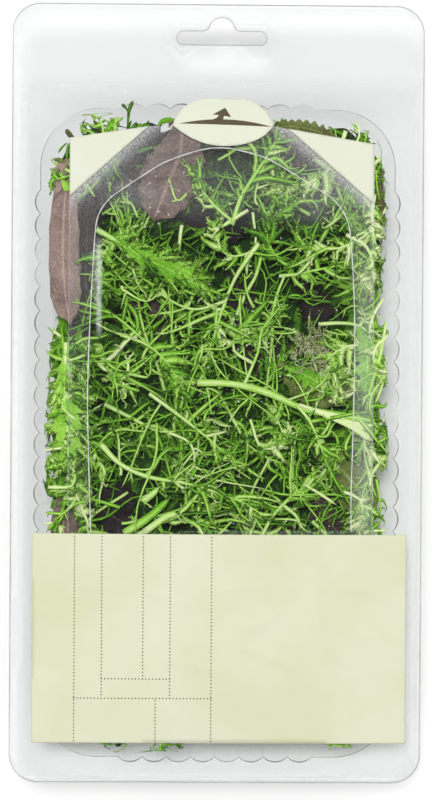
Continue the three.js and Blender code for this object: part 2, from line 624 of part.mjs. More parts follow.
// Leaves that show through the window, laid by hand. Each rib runs from the stalk's cut end to the tip.
const HAND_LAID = [
  {
    name: "stem_long",
    colour: "pale",
    layer: 14,
    parts: [
      {
        rib: [[-7, 4], [6, 3.5], [18, 0.5], [31, -5], [45, -7.5], [57, -9]],
        width: [3.2, 1.6], pairs: 2, from: 0.86, length: 8,
      },
      {
        rib: [[9.5, 3], [14.5, 15], [16, 23], [23, 32]],
        width: [1.8, 0.8], pairs: 4, from: 0.3, length: 10, teeth: 0, seed: 4,
      },
      {
        rib: [[25, -2], [33, 1], [38, 5], [40, 9]],
        width: [1.4, 0.8], pairs: 1, from: 0.6, length: 5, teeth: 0, seed: 5,
      },
      {
        rib: [[28, -3.5], [33, -9.5], [36.5, -17.5], [40, -25]],
        width: [1.8, 0.8], pairs: 4, from: 0.3, length: 12, seed: 6,
      },
    ],
  },
  {
    name: "frill_upper_left",
    colour: "green",
    layer: 14,
    blade: {
      rib: [[-43, 58], [-35, 53.5], [-26, 48], [-15, 43], [-5, 38.5]],
      halfWidth: 11, stalk: 0.08, stalkWidth: 3, stations: 18, tooth: 0.3, slant: 0.7, seed: 2,
    },
  },
  {
    name: "frond_lower_left",
    colour: "pale",
    layer: 14,
    parts: [
      {
        rib: [[-41, -18], [-34, -25], [-24, -29.5], [-9.5, -32], [6.5, -37], [17, -43]],
        width: [2.8, 1], pairs: 6, from: 0.36, length: 16, seed: 7,
      },
    ],
  },
  {
    name: "frill_left_edge",
    colour: "green",
    layer: 14,
    blade: {
      rib: [[-53.5, 18], [-54, 6], [-53.8, -3], [-52.8, -14], [-52.5, -27]],
      halfWidth: 7, stalk: 0.1, stalkWidth: 2.8, stations: 16, tooth: 0.26, slant: 0.7, seed: 9,
    },
  },
  {
    name: "frond_top",
    colour: "green",
    layer: 14,
    parts: [
      {
        rib: [[5, 60], [8, 69.5], [12.5, 77], [17, 84], [21, 91]],
        width: [2.6, 1], pairs: 6, from: 0.22, length: 14, teeth: 2, seed: 11,
      },
      {
        rib: [[5.5, 61], [-2, 66], [-10, 75], [-15, 86]],
        width: [2, 0.9], pairs: 5, from: 0.25, length: 11, seed: 12,
      },
    ],
  },
  {
    name: "stem_upper_middle",
    colour: "pale",
    layer: 13,
    parts: [
      {
        rib: [[14.5, 53.5], [7, 42.5], [2.5, 32], [-0.5, 22.5], [-4, 12]],
        width: [2.4, 0.9], pairs: 5, from: 0.4, length: 15, seed: 13,
      },
      {
        rib: [[3, 33], [-8, 30], [-18, 34], [-27, 42]],
        width: [1.8, 0.8], pairs: 5, from: 0.3, length: 12, seed: 14,
      },
    ],
  },
  {
    name: "stem_middle_left",
    colour: "pale",
    layer: 13,
    parts: [
      {
        rib: [[-24, 0], [-13, -8], [-1, -17.5], [8, -26.5]],
        width: [2.2, 0.9], pairs: 4, from: 0.4, length: 12, seed: 15,
      },
    ],
  },
  {
    name: "frond_right",
    colour: "green",
    layer: 13,
    parts: [
      {
        rib: [[22, 42], [29.5, 43], [36, 44.5], [45.5, 46.5]],
        width: [2, 1], pairs: 5, from: 0.1, length: 21, angle: 72, teeth: 2, seed: 17,
      },
      {
        rib: [[24, 42.5], [21, 35], [19, 27], [15, 18]],
        width: [1.6, 0.8], pairs: 4, from: 0.3, length: 10, seed: 18,
      },
    ],
  },
  {
    name: "stem_right_arc",
    colour: "pale",
    layer: 13,
    parts: [
      {
        rib: [[36, 25], [44, 25.5], [50.5, 24.5], [56, 20], [58, 12], [58.5, 4]],
        width: [2, 0.9], pairs: 4, from: 0.35, length: 9, teeth: 1, seed: 19,
      },
    ],
  },
  {
    name: "frond_bottom_left",
    colour: "pale",
    layer: 13,
    parts: [
      {
        rib: [[-38, -57], [-27, -50], [-20, -46], [-11, -43.5], [0, -41]],
        width: [3.4, 1.2], pairs: 5, from: 0.35, length: 17, teeth: 1, seed: 21,
      },
    ],
  },
  {
    name: "stem_left_short",
    colour: "pale",
    layer: 13,
    parts: [
      { rib: [[-51.5, -11.5], [-46, -7.5], [-40, -3.5]], width: [1.8, 1.4] },
    ],
  },
  {
    name: "frond_middle_left",
    colour: "green",
    layer: 12,
    parts: [
      {
        rib: [[-18.5, 1], [-21.5, 11], [-25, 17.5], [-30, 22.5], [-37, 28], [-42, 30]],
        width: [2, 0.9], pairs: 6, from: 0.25, length: 14, teeth: 1, seed: 23,
      },
      {
        rib: [[-24, 16.5], [-27, 26], [-28, 33], [-28.5, 39], [-31, 46.5]],
        width: [1.6, 0.8], pairs: 4, from: 0.3, length: 12, teeth: 0, seed: 25,
      },
      {
        rib: [[-21.5, 11], [-16.5, 15], [-12, 17.5], [-6.5, 19]],
        width: [1.5, 0.8], pairs: 4, from: 0.3, length: 11, teeth: 0, seed: 27,
      },
    ],
  },
  {
    name: "stem_tall_right",
    colour: "green",
    layer: 12,
    parts: [
      {
        rib: [[7, 28], [10, 35.5], [14, 43], [16.5, 54], [19, 66.5], [21.5, 73], [24, 79]],
        width: [2.4, 1], pairs: 6, from: 0.3, length: 15, seed: 29,
      },
    ],
  },
  {
    name: "frond_middle_right",
    colour: "green",
    layer: 12,
    parts: [
      {
        rib: [[1, 0], [7, -11], [11, -17.5], [17, -22], [24, -24.5], [30, -23.5]],
        width: [1.8, 0.9], pairs: 6, from: 0.12, length: 20, teeth: 1, seed: 31,
      },
    ],
  },
  {
    name: "frond_bottom_right",
    colour: "green",
    layer: 13,
    parts: [
      {
        rib: [[15, -53], [20, -43.5], [25, -38], [29, -34.5], [35, -31.5]],
        width: [2.2, 1.2], pairs: 5, from: 0.2, length: 15, teeth: 2, seed: 33,
      },
    ],
  },
  {
    name: "frond_left_curl",
    colour: "green",
    layer: 11,
    parts: [
      {
        rib: [[-40, -4], [-30, -9], [-22, -13], [-14.5, -13.5], [-8.5, -11], [-3, -11.5]],
        width: [2.2, 1.1], pairs: 6, from: 0.15, length: 18, seed: 35,
      },
    ],
  },
  {
    name: "frond_upper_right",
    colour: "green",
    layer: 11,
    parts: [
      {
        rib: [[39, 82], [42.5, 75], [46, 66], [49, 57], [50.5, 46]],
        width: [2, 0.9], pairs: 6, from: 0.1, length: 15, teeth: 1, seed: 37,
      },
    ],
  },
  {
    name: "leaf_right_veined",
    colour: "green",
    layer: 11,
    blade: {
      rib: [[22, 11], [28, 8], [37, 3.5], [50, 0]],
      halfWidth: 8.5, stalk: 0.1, stations: 12, tooth: 0.08, seed: 39,
    },
  },
  {
    name: "purple_left",
    colour: "purple",
    layer: 11,
    blade: {
      rib: [[-50, 82], [-54, 72], [-55, 50], [-54, 35], [-52, 24]],
      halfWidth: 6.2, stalk: 0.06, stations: 12, tooth: 0.05, seed: 41,
    },
  },
  {
    name: "sprig_top_left",
    colour: "deepGreen",
    layer: 11,
    parts: [
      {
        rib: [[-38, 70], [-40, 80], [-41.5, 88], [-43, 95]],
        width: [1.6, 0.8], pairs: 4, from: 0.3, length: 8, teeth: 0, seed: 43,
      },
    ],
  },
  {
    name: "purple_top",
    colour: "purple",
    layer: 10,
    blade: {
      rib: [[-10, 97], [-13, 83], [-16, 67], [-19, 50]],
      halfWidth: 11.5, stalk: 0.05, stations: 14, tooth: 0.05, seed: 45,
    },
  },
  {
    name: "purple_top_right",
    colour: "purple",
    layer: 10,
    blade: {
      rib: [[12, 92], [24, 93], [34, 90], [45, 82]],
      halfWidth: 6, stalk: 0.05, stations: 14, tooth: 0.16, seed: 47,
    },
  },
  {
    name: "olive_right",
    colour: "purple",
    layer: 10,
    blade: {
      rib: [[34, -18], [44, -26], [51, -34], [57, -43]],
      halfWidth: 9, stalk: 0.06, stations: 12, tooth: 0.08, seed: 49,
    },
  },
  {
    name: "purple_bottom_left",
    colour: "purple",
    layer: 10,
    blade: {
      rib: [[-55, -34], [-54, -50], [-50, -66], [-47, -82]],
      halfWidth: 7, stalk: 0.05, stations: 12, tooth: 0.06, seed: 51,
    },
  },
];

// Leaves of the upper layers that lie under the cream panel and beside it.
const UNDER_PANEL = [
  {
    name: "green_panel_1",
    colour: "green",
    layer: 14,
    blade: {
      rib: [[-46, -108], [-30, -98], [-12, -90], [8, -86], [32, -88]],
      halfWidth: 15, ...CUT_MARGIN, seed: 53,
    },
  },
  {
    name: "green_panel_2",
    colour: "deepGreen",
    layer: 13,
    blade: {
      rib: [[46, -64], [34, -76], [20, -90], [2, -104], [-14, -118]],
      halfWidth: 16, ...CUT_MARGIN, seed: 55,
    },
  },
  {
    name: "green_panel_3",
    colour: "green",
    layer: 12,
    blade: {
      rib: [[-50, -72], [-34, -80], [-16, -84], [6, -84], [28, -78]],
      halfWidth: 14, ...CUT_MARGIN, seed: 57,
    },
  },
  {
    name: "frond_panel_4",
    colour: "green",
    layer: 11,
    parts: [
      { rib: [[48, -116], [38, -104], [30, -88], [28, -70], [32, -54]], pairs: 6, length: 16, seed: 59 },
    ],
  },
];

// Lower leaves, by rule: in turn, two long ones along the tray and three across it. Every third one is
// purple, and the others are green with a deeply cut margin.
function lowerLeaves() {
  const found = [];
  for (let layer = 0; layer < HAND_LAID_FROM; layer++) {
    const [across, along] = reach(layer);
    const lengthways = layer % 2 === 0;
    const count = lengthways ? 2 : 3;
    const cell = lengthways ? across : (2 * along) / count;
    const half = lengthways ? 0.72 * along : 0.94 * across;
    for (let i = 0; i < count; i++) {
      const seed = 100 + layer * 7 + i * 3;
      const middle = cell * (i - (count - 1) / 2);
      const shift = lengthways ? ((layer / 2 + i) % 2 ? 1 : -1) * (along - half - 4) : 0;
      const flip = chance(seed, 1) > 0.5 ? 1 : -1;
      const bow = 5 * (chance(seed, 2) - 0.5);
      const rib = [[-1, -bow], [-0.4, bow], [0.25, 0.6 * bow], [1, -bow]].map(([share, aside]) => {
        const forward = flip * share * half + shift;
        const [x, y] = lengthways ? [middle + aside, forward] : [forward, middle + aside];
        return [x, y + CAVITY.centreY];
      });
      const purple = (layer + 2 * i) % 3 === 0;
      const margin = purple ? { stations: 10, tooth: 0.07 } : CUT_MARGIN;
      const halfWidth = (0.5 * cell - 3) / (1 + margin.tooth);
      const kind = purple ? "purple" : "green";
      const colour = purple || i % 2 ? kind : "deepGreen";
      const blade = { rib, halfWidth, full: false, stalk: 0.16, seed, ...margin };
      found.push({ name: `${kind}_lower_${layer}_${i}`, colour, layer, blade });
    }
  }
  return found;
}

function leafGeometry({ layer, blade, parts }) {
  if (blade) return broadLeaf(layer, blade);
  if (parts.length === 1) return frond(layer, parts[0]);
  const solids = parts.map((part) => toSolid(frond(layer, part)));
  return toGeometry(solids.reduce((whole, part) => whole.add(part)));
}

// The whole pack

const materials = Object.fromEntries(
  Object.entries(COLOURS).map(([name, look]) => [name, new THREE.MeshStandardMaterial(look)]),
);
const pack = new THREE.Group();

function addPiece(name, geometry, colour) {
  const mesh = new THREE.Mesh(geometry, materials[colour]);
  mesh.name = name;
  pack.add(mesh);
}

addPiece("tray", tray(), "clear");
addPiece("lid_film", lidFilm(), "clear");
addPiece("label_window", labelPiece(windowLoop()), "clear");
addPiece("label_panel", labelPiece(panelLoop()), "cream");
addPiece("seal_left", labelPiece(sealLoop(SEAL_LEFT)), "cream");
addPiece("seal_right", labelPiece(sealLoop(SEAL_RIGHT)), "cream");
addPiece("pull_tab", labelPiece(tabLoop()), "cream");
for (const leaf of [...HAND_LAID, ...UNDER_PANEL, ...lowerLeaves()]) {
  addPiece(leaf.name, leafGeometry(leaf), leaf.colour);
}

export default pack;
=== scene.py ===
import json
import math

import bpy
import numpy as np
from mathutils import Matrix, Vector
from mathutils.geometry import delaunay_2d_cdt
from mathutils.kdtree import KDTree


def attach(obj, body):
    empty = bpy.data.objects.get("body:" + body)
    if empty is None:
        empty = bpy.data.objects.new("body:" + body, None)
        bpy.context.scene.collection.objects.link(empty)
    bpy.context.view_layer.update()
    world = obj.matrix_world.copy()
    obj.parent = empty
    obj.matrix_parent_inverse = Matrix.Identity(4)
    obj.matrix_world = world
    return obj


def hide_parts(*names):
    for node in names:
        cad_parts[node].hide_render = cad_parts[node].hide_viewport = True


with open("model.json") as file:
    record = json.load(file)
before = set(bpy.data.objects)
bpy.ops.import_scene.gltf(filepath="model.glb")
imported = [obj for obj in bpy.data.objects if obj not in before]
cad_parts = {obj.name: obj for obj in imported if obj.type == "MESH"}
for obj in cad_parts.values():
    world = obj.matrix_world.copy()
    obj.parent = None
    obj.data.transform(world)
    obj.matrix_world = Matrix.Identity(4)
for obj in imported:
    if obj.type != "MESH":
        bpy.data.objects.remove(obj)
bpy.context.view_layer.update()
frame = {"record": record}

MM = 0.001
BODY = "root"
SLOT_OF = {part["node"]: part["material_slot"] for part in frame["record"]["subparts"]}

# Pack, as its solids are
PACK = {"width": 146.0, "length": 276.0, "corner": 10.0}
CAVITY = {"width": 126.0, "length": 230.0, "corner": 21.0, "centre_y": -14.0}
TRAY_HEIGHT = 45.0
CAD_SHEET = 0.8
WALL_LEAN = 7.0
WALL_FOOT = 4.0
FLUTE = {"pitch": 8.6, "depth": 1.8, "along_side": 20, "across_end": 8}
FLUTE_STEPS = 8
FOOT = {"width": 8.0, "slope": 1.5, "recess": 1.6}
SLOT = {"x": 1.0, "half_length": 16.0, "bottom": 123.6, "bar": 4.9, "hump_radius": 4.6, "hump_y": 128.7,
        "flare": 7.8}
DOME = 3.0
LABEL_LEFT, LABEL_RIGHT = -52.5, 55.3
PANEL = {"left": -65.1, "right": 67.6, "bottom": -123.8, "top": -49.6}
ARCH = [
    (-44.3, -49.4), (-44.9, -32.6), (-45.5, -14), (-45.7, -2), (-45.5, 12), (-44.7, 33), (-43.9, 48.2),
    (-43.1, 59.4), (-41.4, 64.7), (-38.4, 68.7), (-34.1, 72), (-26.1, 77.4), (-19.6, 81.4), (-12.4, 84.3),
    (-5.2, 86.4), (1.4, 87), (8.2, 86), (17.2, 83.3), (24.5, 79.3), (31.3, 75.1), (37.2, 71.5), (41.6, 68.2),
    (45.1, 63.2), (46.7, 57.6), (47.6, 47.5), (48.2, 37), (48.6, 24), (48.7, 10.6), (48.4, -4.6),
    (48.1, -20.2), (47.7, -35.1), (47.8, -49.4),
]
TAB = {"left": -16.3, "right": 19.5, "y": 95.0, "bottom": 87.6, "top": 104.6}
SEAL_LEFT = [(LABEL_LEFT, 90.3), (LABEL_LEFT, 69.6), (-24.5, 94.6)]
SEAL_RIGHT = [(LABEL_RIGHT, 88.8), (24.6, 94.0), (LABEL_RIGHT, 67.5)]

# Sheets of the dressed pack, within the solids
SHEET = 0.5
FILLET = 1.6  # where the flange turns down into the wall
FILM_UNDER = 45.3
FILM = 0.25
LABEL_UNDER = 45.8
LABEL = 0.28
CUT_GAP = 0.15
MESH_STEP = {"film": 2.6, "window": 1.25, "panel": 1.3, "tab": 1.0, "arc": 1.2, "arrow": 0.9}
# The grey lines are painted shade along the clear plastic's edges
LINE_INSET = 0.2  # how far the grey lines lie within the rim of the cavity and the pack's edge
LINE_THICK = 0.12

# Share of light that haze turns white, and share that clear plastic mirrors when seen straight on
TRAY_HAZE = {"wall": 0.012, "beside": 0.06, "flange": 0.36}
# The seal share of WINDOW_HAZE is a painted sheen beside the seals
WINDOW_HAZE = {"arch": 0.001, "left": 0.008, "beside": 0.03, "seal": 0.2}
HAZE_LETS_ON = 0.3  # share of the light in haze that goes on, and isn't taken from what lies below
STRAIGHT_GLOSS = 0.018
WALL_GLOSS = 0.045

# Leaves, as their solids are
LAYERS = 15
HAND_LAID_FROM = 10
SEEN_FROM_ABOVE = 7  # lower leaves under this layer show only through the walls
FLOOR_TOP = CAD_SHEET + FOOT["recess"] + 0.6
SWAY = 0.9
WALL_GAP = 1.2
LOBE_CURL = 0.22
TIP_GAP = 0.05
STALK_THICK = 0.9

# Dressed leaves keep these gaps to what holds them, and are pressed in softly over these depths
GAP = {"wall": 0.5, "film": 0.15, "floor": 0.1}
SOFT = {"wall": 3.0, "film": 1.2, "floor": 0.8}
BRANCH_ANGLE = (38, 88)  # between a strand and its side strands
TIP_TONE = -0.05  # how much deeper a strand is at its tip

UP = np.array([0.0, 0.0, 1.0])

# One sequence of random numbers, drawn from leaf by leaf in a fixed order
rng = np.random.default_rng(7)


def chance(seed, count):
    """A fixed number from 0 to 1 for each pair of a leaf's seed and a count."""
    wave = math.sin(seed * 12.9898 + count * 78.233) * 43758.5453
    return wave - math.floor(wave)


def lerp(a, b, share):
    return a + (b - a) * share


def unit(vectors):
    return vectors / np.maximum(np.linalg.norm(vectors, axis=-1, keepdims=True), 1e-9)


# Meshes

def make_piece(name, points, faces, material, slot, nodes=(), values=None, smooth=True):
    """One piece of the pack from points in mm and triangles. values are numbers kept for each point."""
    mesh = bpy.data.meshes.new(name)
    mesh.vertices.add(len(points))
    mesh.vertices.foreach_set("co", (np.asarray(points) * MM).ravel())
    mesh.loops.add(faces.size)
    mesh.loops.foreach_set("vertex_index", faces.ravel().astype(np.int32))
    mesh.polygons.add(len(faces))
    mesh.polygons.foreach_set("loop_start", np.arange(len(faces), dtype=np.int32) * 3)
    mesh.polygons.foreach_set("use_smooth", np.broadcast_to(smooth, len(faces)))
    mesh.update(calc_edges=True)
    mesh.validate()
    for key, numbers in (values or {}).items():
        layer = mesh.attributes.new(key, "FLOAT", "POINT")
        layer.data.foreach_set("value", np.asarray(numbers, dtype=np.float32))
    mesh.materials.append(material)
    piece = bpy.data.objects.new(name, mesh)
    bpy.context.scene.collection.objects.link(piece)
    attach(piece, BODY)
    if nodes:
        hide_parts(*nodes)
    return piece


def weld(points, faces, within=1e-3):
    """The same mesh with points that lie together made one."""
    keys = np.round(points / within).astype(np.int64)
    _, first, index = np.unique(keys, axis=0, return_index=True, return_inverse=True)
    faces = index.ravel()[faces]
    whole = (faces[:, 0] != faces[:, 1]) & (faces[:, 1] != faces[:, 2]) & (faces[:, 0] != faces[:, 2])
    return points[first], faces[whole]


def contains(loop, points):
    """Which points lie inside a loop."""
    loop = np.asarray(loop)
    x, y = points[:, :1], points[:, 1:]
    ax, ay = loop[:, 0], loop[:, 1]
    bx, by = np.roll(loop, -1, axis=0).T
    rise = np.where(by == ay, 1.0, by - ay)
    crosses = ((ay > y) != (by > y)) & (x < ax + (y - ay) * (bx - ax) / rise)
    return np.count_nonzero(crosses, axis=1) % 2 == 1


def divided(loop, step):
    """A loop with points added so that none of its edges is longer than a step."""
    found = []
    for (ax, ay), (bx, by) in zip(loop, [*loop[1:], loop[0]]):
        parts = max(1, math.ceil(math.hypot(bx - ax, by - ay) / step))
        found += [(lerp(ax, bx, i / parts), lerp(ay, by, i / parts)) for i in range(parts)]
    return found


def fill(outline, holes, step):
    """Points and counter-clockwise triangles that fill an outline round its holes."""
    loops = [outline, *holes]
    rim = np.array([point for loop in loops for point in loop])
    near = KDTree(len(rim))
    for i, (x, y) in enumerate(rim):
        near.insert((x, y, 0), i)
    near.balance()
    low, high = rim.min(axis=0), rim.max(axis=0)
    axes = [np.arange(low[i] + 0.5 * step, high[i], step) for i in range(2)]
    grid = np.stack(np.meshgrid(*axes), axis=-1).reshape(-1, 2)
    grid = grid[contains(outline, grid)]
    for hole in holes:
        grid = grid[~contains(hole, grid)]
    clear = [near.find((x, y, 0))[2] > 0.55 * step for x, y in grid]
    grid = grid[np.array(clear, dtype=bool)]
    edges, start = [], 0
    for loop in loops:
        edges += [(start + i, start + (i + 1) % len(loop)) for i in range(len(loop))]
        start += len(loop)
    flat = [Vector(point) for point in np.vstack([rim, grid])]
    points, _, faces, *_ = delaunay_2d_cdt(flat, edges, [], 0, 1e-5)
    points = np.array([(p.x, p.y) for p in points])
    faces = np.array([face for face in faces if len(face) == 3])
    middles = points[faces].mean(axis=1)
    kept = contains(outline, middles)
    for hole in holes:
        kept &= ~contains(hole, middles)
    faces = faces[kept]
    a, b, c = points[faces].transpose(1, 0, 2)
    turns = (b[:, 0] - a[:, 0]) * (c[:, 1] - a[:, 1]) - (b[:, 1] - a[:, 1]) * (c[:, 0] - a[:, 0])
    faces[turns < 0] = faces[turns < 0][:, ::-1]
    return points, faces


def slab(flat, faces, bottom, top):
    """A closed sheet over flat points, between the heights bottom and top of each point."""
    count = len(flat)
    points = np.vstack([np.column_stack([flat, top]), np.column_stack([flat, bottom])])
    edges = np.vstack([faces[:, [0, 1]], faces[:, [1, 2]], faces[:, [2, 0]]])
    keys = edges[:, 0] * count + edges[:, 1]
    back = edges[:, 1] * count + edges[:, 0]
    rim = edges[~np.isin(keys, back)]
    a, b = rim.T
    sides = np.vstack([np.column_stack([a, a + count, b + count]), np.column_stack([a, b + count, b])])
    return points, np.vstack([faces, faces[:, ::-1] + count, sides])


# Outlines

def rounded_loop(shape, inset=0.0, flute=None, arc=12):
    """A rounded rectangle, counter-clockwise. Flutes bulge out of its straight sides by their depth."""
    corner = shape["corner"]
    across, along = shape["width"] / 2 - corner, shape["length"] / 2 - corner
    radius = corner - inset
    centre_y = shape.get("centre_y", 0.0)
    loop = []
    for side in range(4):
        cos, sin = round(math.cos(side * math.pi / 2)), round(math.sin(side * math.pi / 2))
        reach, half = (along, across) if side % 2 else (across, along)
        count = 0 if flute is None else FLUTE["across_end" if side % 2 else "along_side"]
        start = -count * FLUTE["pitch"] / 2

        def place(out, forward):
            loop.append((out * cos - forward * sin, out * sin + forward * cos + centre_y))

        place(reach + radius, -half)
        for i in range(count * FLUTE_STEPS + 1 if count else 0):
            share = i / FLUTE_STEPS
            bulge = flute * abs(math.sin(math.pi * share)) ** 0.75
            place(reach + radius + bulge, start + share * FLUTE["pitch"])
        for i in range(arc):
            angle = i * math.pi / 2 / arc
            place(reach + radius * math.cos(angle), half + radius * math.sin(angle))
    return loop


def arc_points(cx, cy, radius, start, end, count):
    """Points of an arc, with angles in degrees."""
    angles = np.radians(np.linspace(start, end, count))
    return [(cx + radius * math.cos(a), cy + radius * math.sin(a)) for a in angles]


def quadratic(a, b, c, count):
    """Points of a quadratic curve, without its last one."""
    found = []
    for i in range(count):
        s = i / count
        found.append(tuple((1 - s) ** 2 * a[k] + 2 * s * (1 - s) * b[k] + s * s * c[k] for k in (0, 1)))
    return found


def slot_loop():
    """The hang slot: a round-ended bar with a hump over its middle."""
    end = SLOT["bar"] / 2
    top = SLOT["bottom"] + SLOT["bar"]
    middle = SLOT["bottom"] + end
    reach = SLOT["half_length"] - end
    hump, radius, flare = SLOT["hump_y"], SLOT["hump_radius"], SLOT["flare"]
    lift = math.radians(22)
    foot = (radius * math.cos(lift), hump + radius * math.sin(lift))
    centred = [
        *arc_points(reach, middle, end, -90, 90, 10),
        *quadratic((flare, top), (foot[0] + 0.2, top), foot, 6),
        *arc_points(0, hump, radius, 22, 158, 14),
        *quadratic((-foot[0], foot[1]), (-foot[0] - 0.2, top), (-flare, top), 6)[1:],
        (-flare, top),
        *arc_points(-reach, middle, end, 90, 270, 10),
    ]
    return [(x + SLOT["x"], y) for x, y in centred]


def tab_loop(grow=0.0):
    """The grip tab: a rounded cap above the label's edge, and a shallow bowl below it."""
    left, right, y, bottom, top = (TAB[key] for key in ("left", "right", "y", "bottom", "top"))
    middle = (left + right) / 2
    curves = [
        ((left - grow, y), (left + 8.5, bottom - grow), (middle, bottom - grow)),
        ((middle, bottom - grow), (right - 5, bottom - grow), (right + grow, y)),
        ((right + grow, y), (right - 3, top - 0.6), (middle + 6, top)),
        ((middle - 6, top), (left + 3, top - 0.6), (left - grow, y)),
    ]
    return [point for curve in curves for point in quadratic(*curve, 9)]


def window_loop():
    """The clear window, with its corners cut off for the seals and room for the tab in its top edge."""
    bowl = sorted((p for p in tab_loop(CUT_GAP) if p[1] <= TAB["y"] + 0.01), reverse=True)
    return [
        (LABEL_LEFT, PANEL["top"] + CUT_GAP),
        (LABEL_RIGHT, PANEL["top"] + CUT_GAP),
        (LABEL_RIGHT, SEAL_RIGHT[2][1] - CUT_GAP),
        (SEAL_RIGHT[1][0] - CUT_GAP, SEAL_RIGHT[1][1] - CUT_GAP / 2),
        *bowl,
        (SEAL_LEFT[2][0] + CUT_GAP, SEAL_LEFT[2][1] - CUT_GAP / 2),
        (LABEL_LEFT, SEAL_LEFT[1][1] - CUT_GAP),
    ]


def panel_loop():
    left, right, bottom, top = (PANEL[key] for key in ("left", "right", "bottom", "top"))
    return [(left, bottom), (right, bottom), (right, top), (left, top)]


def arch_line():
    """The arched line of the reseal flap, from the foot of its left leg to that of its right."""
    return rib_curve(ARCH, np.linspace(0, 1, 220))[0]


# Film and label

# Folds of the film and label: ends, height and half width
FOLDS = [
    ((-1.1, -68.8), (13.5, -68.8), 0.22, 1.2),
    ((38.7, -68.8), (52.5, -69.3), 0.2, 1.1),
    ((12.1, -83.3), (20.9, -78.4), 0.28, 1.8),
    ((10.3, -89.7), (24.1, -95.0), 0.3, 1.8),
    ((52.5, -86.2), (59.6, -86.4), 0.18, 1.0),
    ((-49.3, -68.1), (-33.3, -68.6), 0.2, 1.2),
    ((-65.2, -78.2), (-59.9, -77.7), 0.18, 1.1),
    ((-21.6, -70.9), (-13.5, -73.4), 0.22, 1.4),
    ((-16.0, -94.3), (0.7, -97.9), 0.26, 1.6),
    ((38.0, -106.0), (45.4, -123.0), 0.4, 5.0),
    ((-58.0, -104.0), (-30.0, -112.0), 0.3, 5.5),
    ((-47.0, 62.0), (-38.0, 74.0), 0.3, 1.6),
    ((44.0, 60.0), (36.0, 76.0), 0.3, 1.6),
    ((-30.0, 79.0), (-22.0, 86.0), 0.25, 1.4),
    ((-24.0, 30.0), (-10.0, 44.0), 0.2, 2.2),
    ((8.0, 60.0), (24.0, 66.0), 0.2, 2.0),
    ((-20.0, -20.0), (6.0, -16.0), 0.18, 2.4),
    ((-61.0, 40.0), (-56.0, 44.0), 0.2, 1.2),
    ((-61.5, -6.0), (-56.0, -3.0), 0.2, 1.2),
    ((62.0, 20.0), (57.0, 26.0), 0.2, 1.2),
]


def dome(x, y):
    """How far the leaves push the film up."""
    across = np.minimum(1, 2 * np.abs(x) / CAVITY["width"])
    along = np.minimum(1, 2 * np.abs(y - CAVITY["centre_y"]) / CAVITY["length"])
    return DOME * (1 - across ** 2) * (1 - along ** 4)


def film_height(x, y):
    """Height of the film's underside, with its folds."""
    total = FILM_UNDER + dome(x, y)
    for (ax, ay), (bx, by), height, width in FOLDS:
        length = math.hypot(bx - ax, by - ay)
        along = ((x - ax) * (bx - ax) + (y - ay) * (by - ay)) / length
        aside = ((y - ay) * (bx - ax) - (x - ax) * (by - ay)) / length
        past = np.maximum(0, np.abs(along - length / 2) - length / 2)
        total = total + height * np.exp(-(aside / width) ** 2 - (past / (2.5 * width)) ** 2)
    return total


def label_top(x, y):
    """Height of the label's upper side."""
    return film_height(x, y) + (LABEL_UNDER - FILM_UNDER) + LABEL


def but_rims(points, faces):
    """Which faces of a sheet are shaded smooth: all but those of its upright rim."""
    a, b, c = points[faces].transpose(1, 0, 2)
    return np.abs(unit(np.cross(b - a, c - a))[:, 2]) > 0.2


def film_sheet(outline, holes, step, under=LABEL_UNDER, thick=LABEL, lift=None):
    """A closed sheet on the film. lift raises its points by a rule of their place."""
    flat, faces = fill(divided(outline, step), holes, step)
    bottom = film_height(flat[:, 0], flat[:, 1]) + (under - FILM_UNDER)
    if lift is not None:
        bottom = bottom + lift(flat[:, 0], flat[:, 1])
    return slab(flat, faces, bottom, bottom + thick)


# Tray

def cup_profile():
    """The middle of the sheet from the flange down to the recessed floor: inset, height and flute depth."""
    half = CAD_SHEET / 2
    depth = FLUTE["depth"]
    flange = TRAY_HEIGHT - half
    found = []
    for i in range(6):
        turn = math.radians(82) * i / 5
        inset = half - FILLET + FILLET * math.sin(turn)
        found.append((inset, flange - FILLET * (1 - math.cos(turn)), depth))
    foot = WALL_LEAN + WALL_FOOT
    top_z, low_z = found[-1][1], WALL_FOOT + 1
    for i in range(1, 8):
        found.append((lerp(half, WALL_LEAN + half, i / 7), lerp(top_z, low_z, i / 7), depth))
    for i in range(1, 6):
        turn = math.pi / 2 * i / 5
        inset = WALL_LEAN + half + (WALL_FOOT + 0.3) * (1 - math.cos(turn))
        found.append((inset, low_z - (low_z - half) * math.sin(turn), lerp(depth, 0.3, i / 5)))
    found.append((foot + FOOT["width"], half, 0.0))
    found.append((foot + FOOT["width"] + 0.5, half + 0.35, 0.0))
    found.append((foot + FOOT["width"] + FOOT["slope"], half + FOOT["recess"], 0.0))
    return found


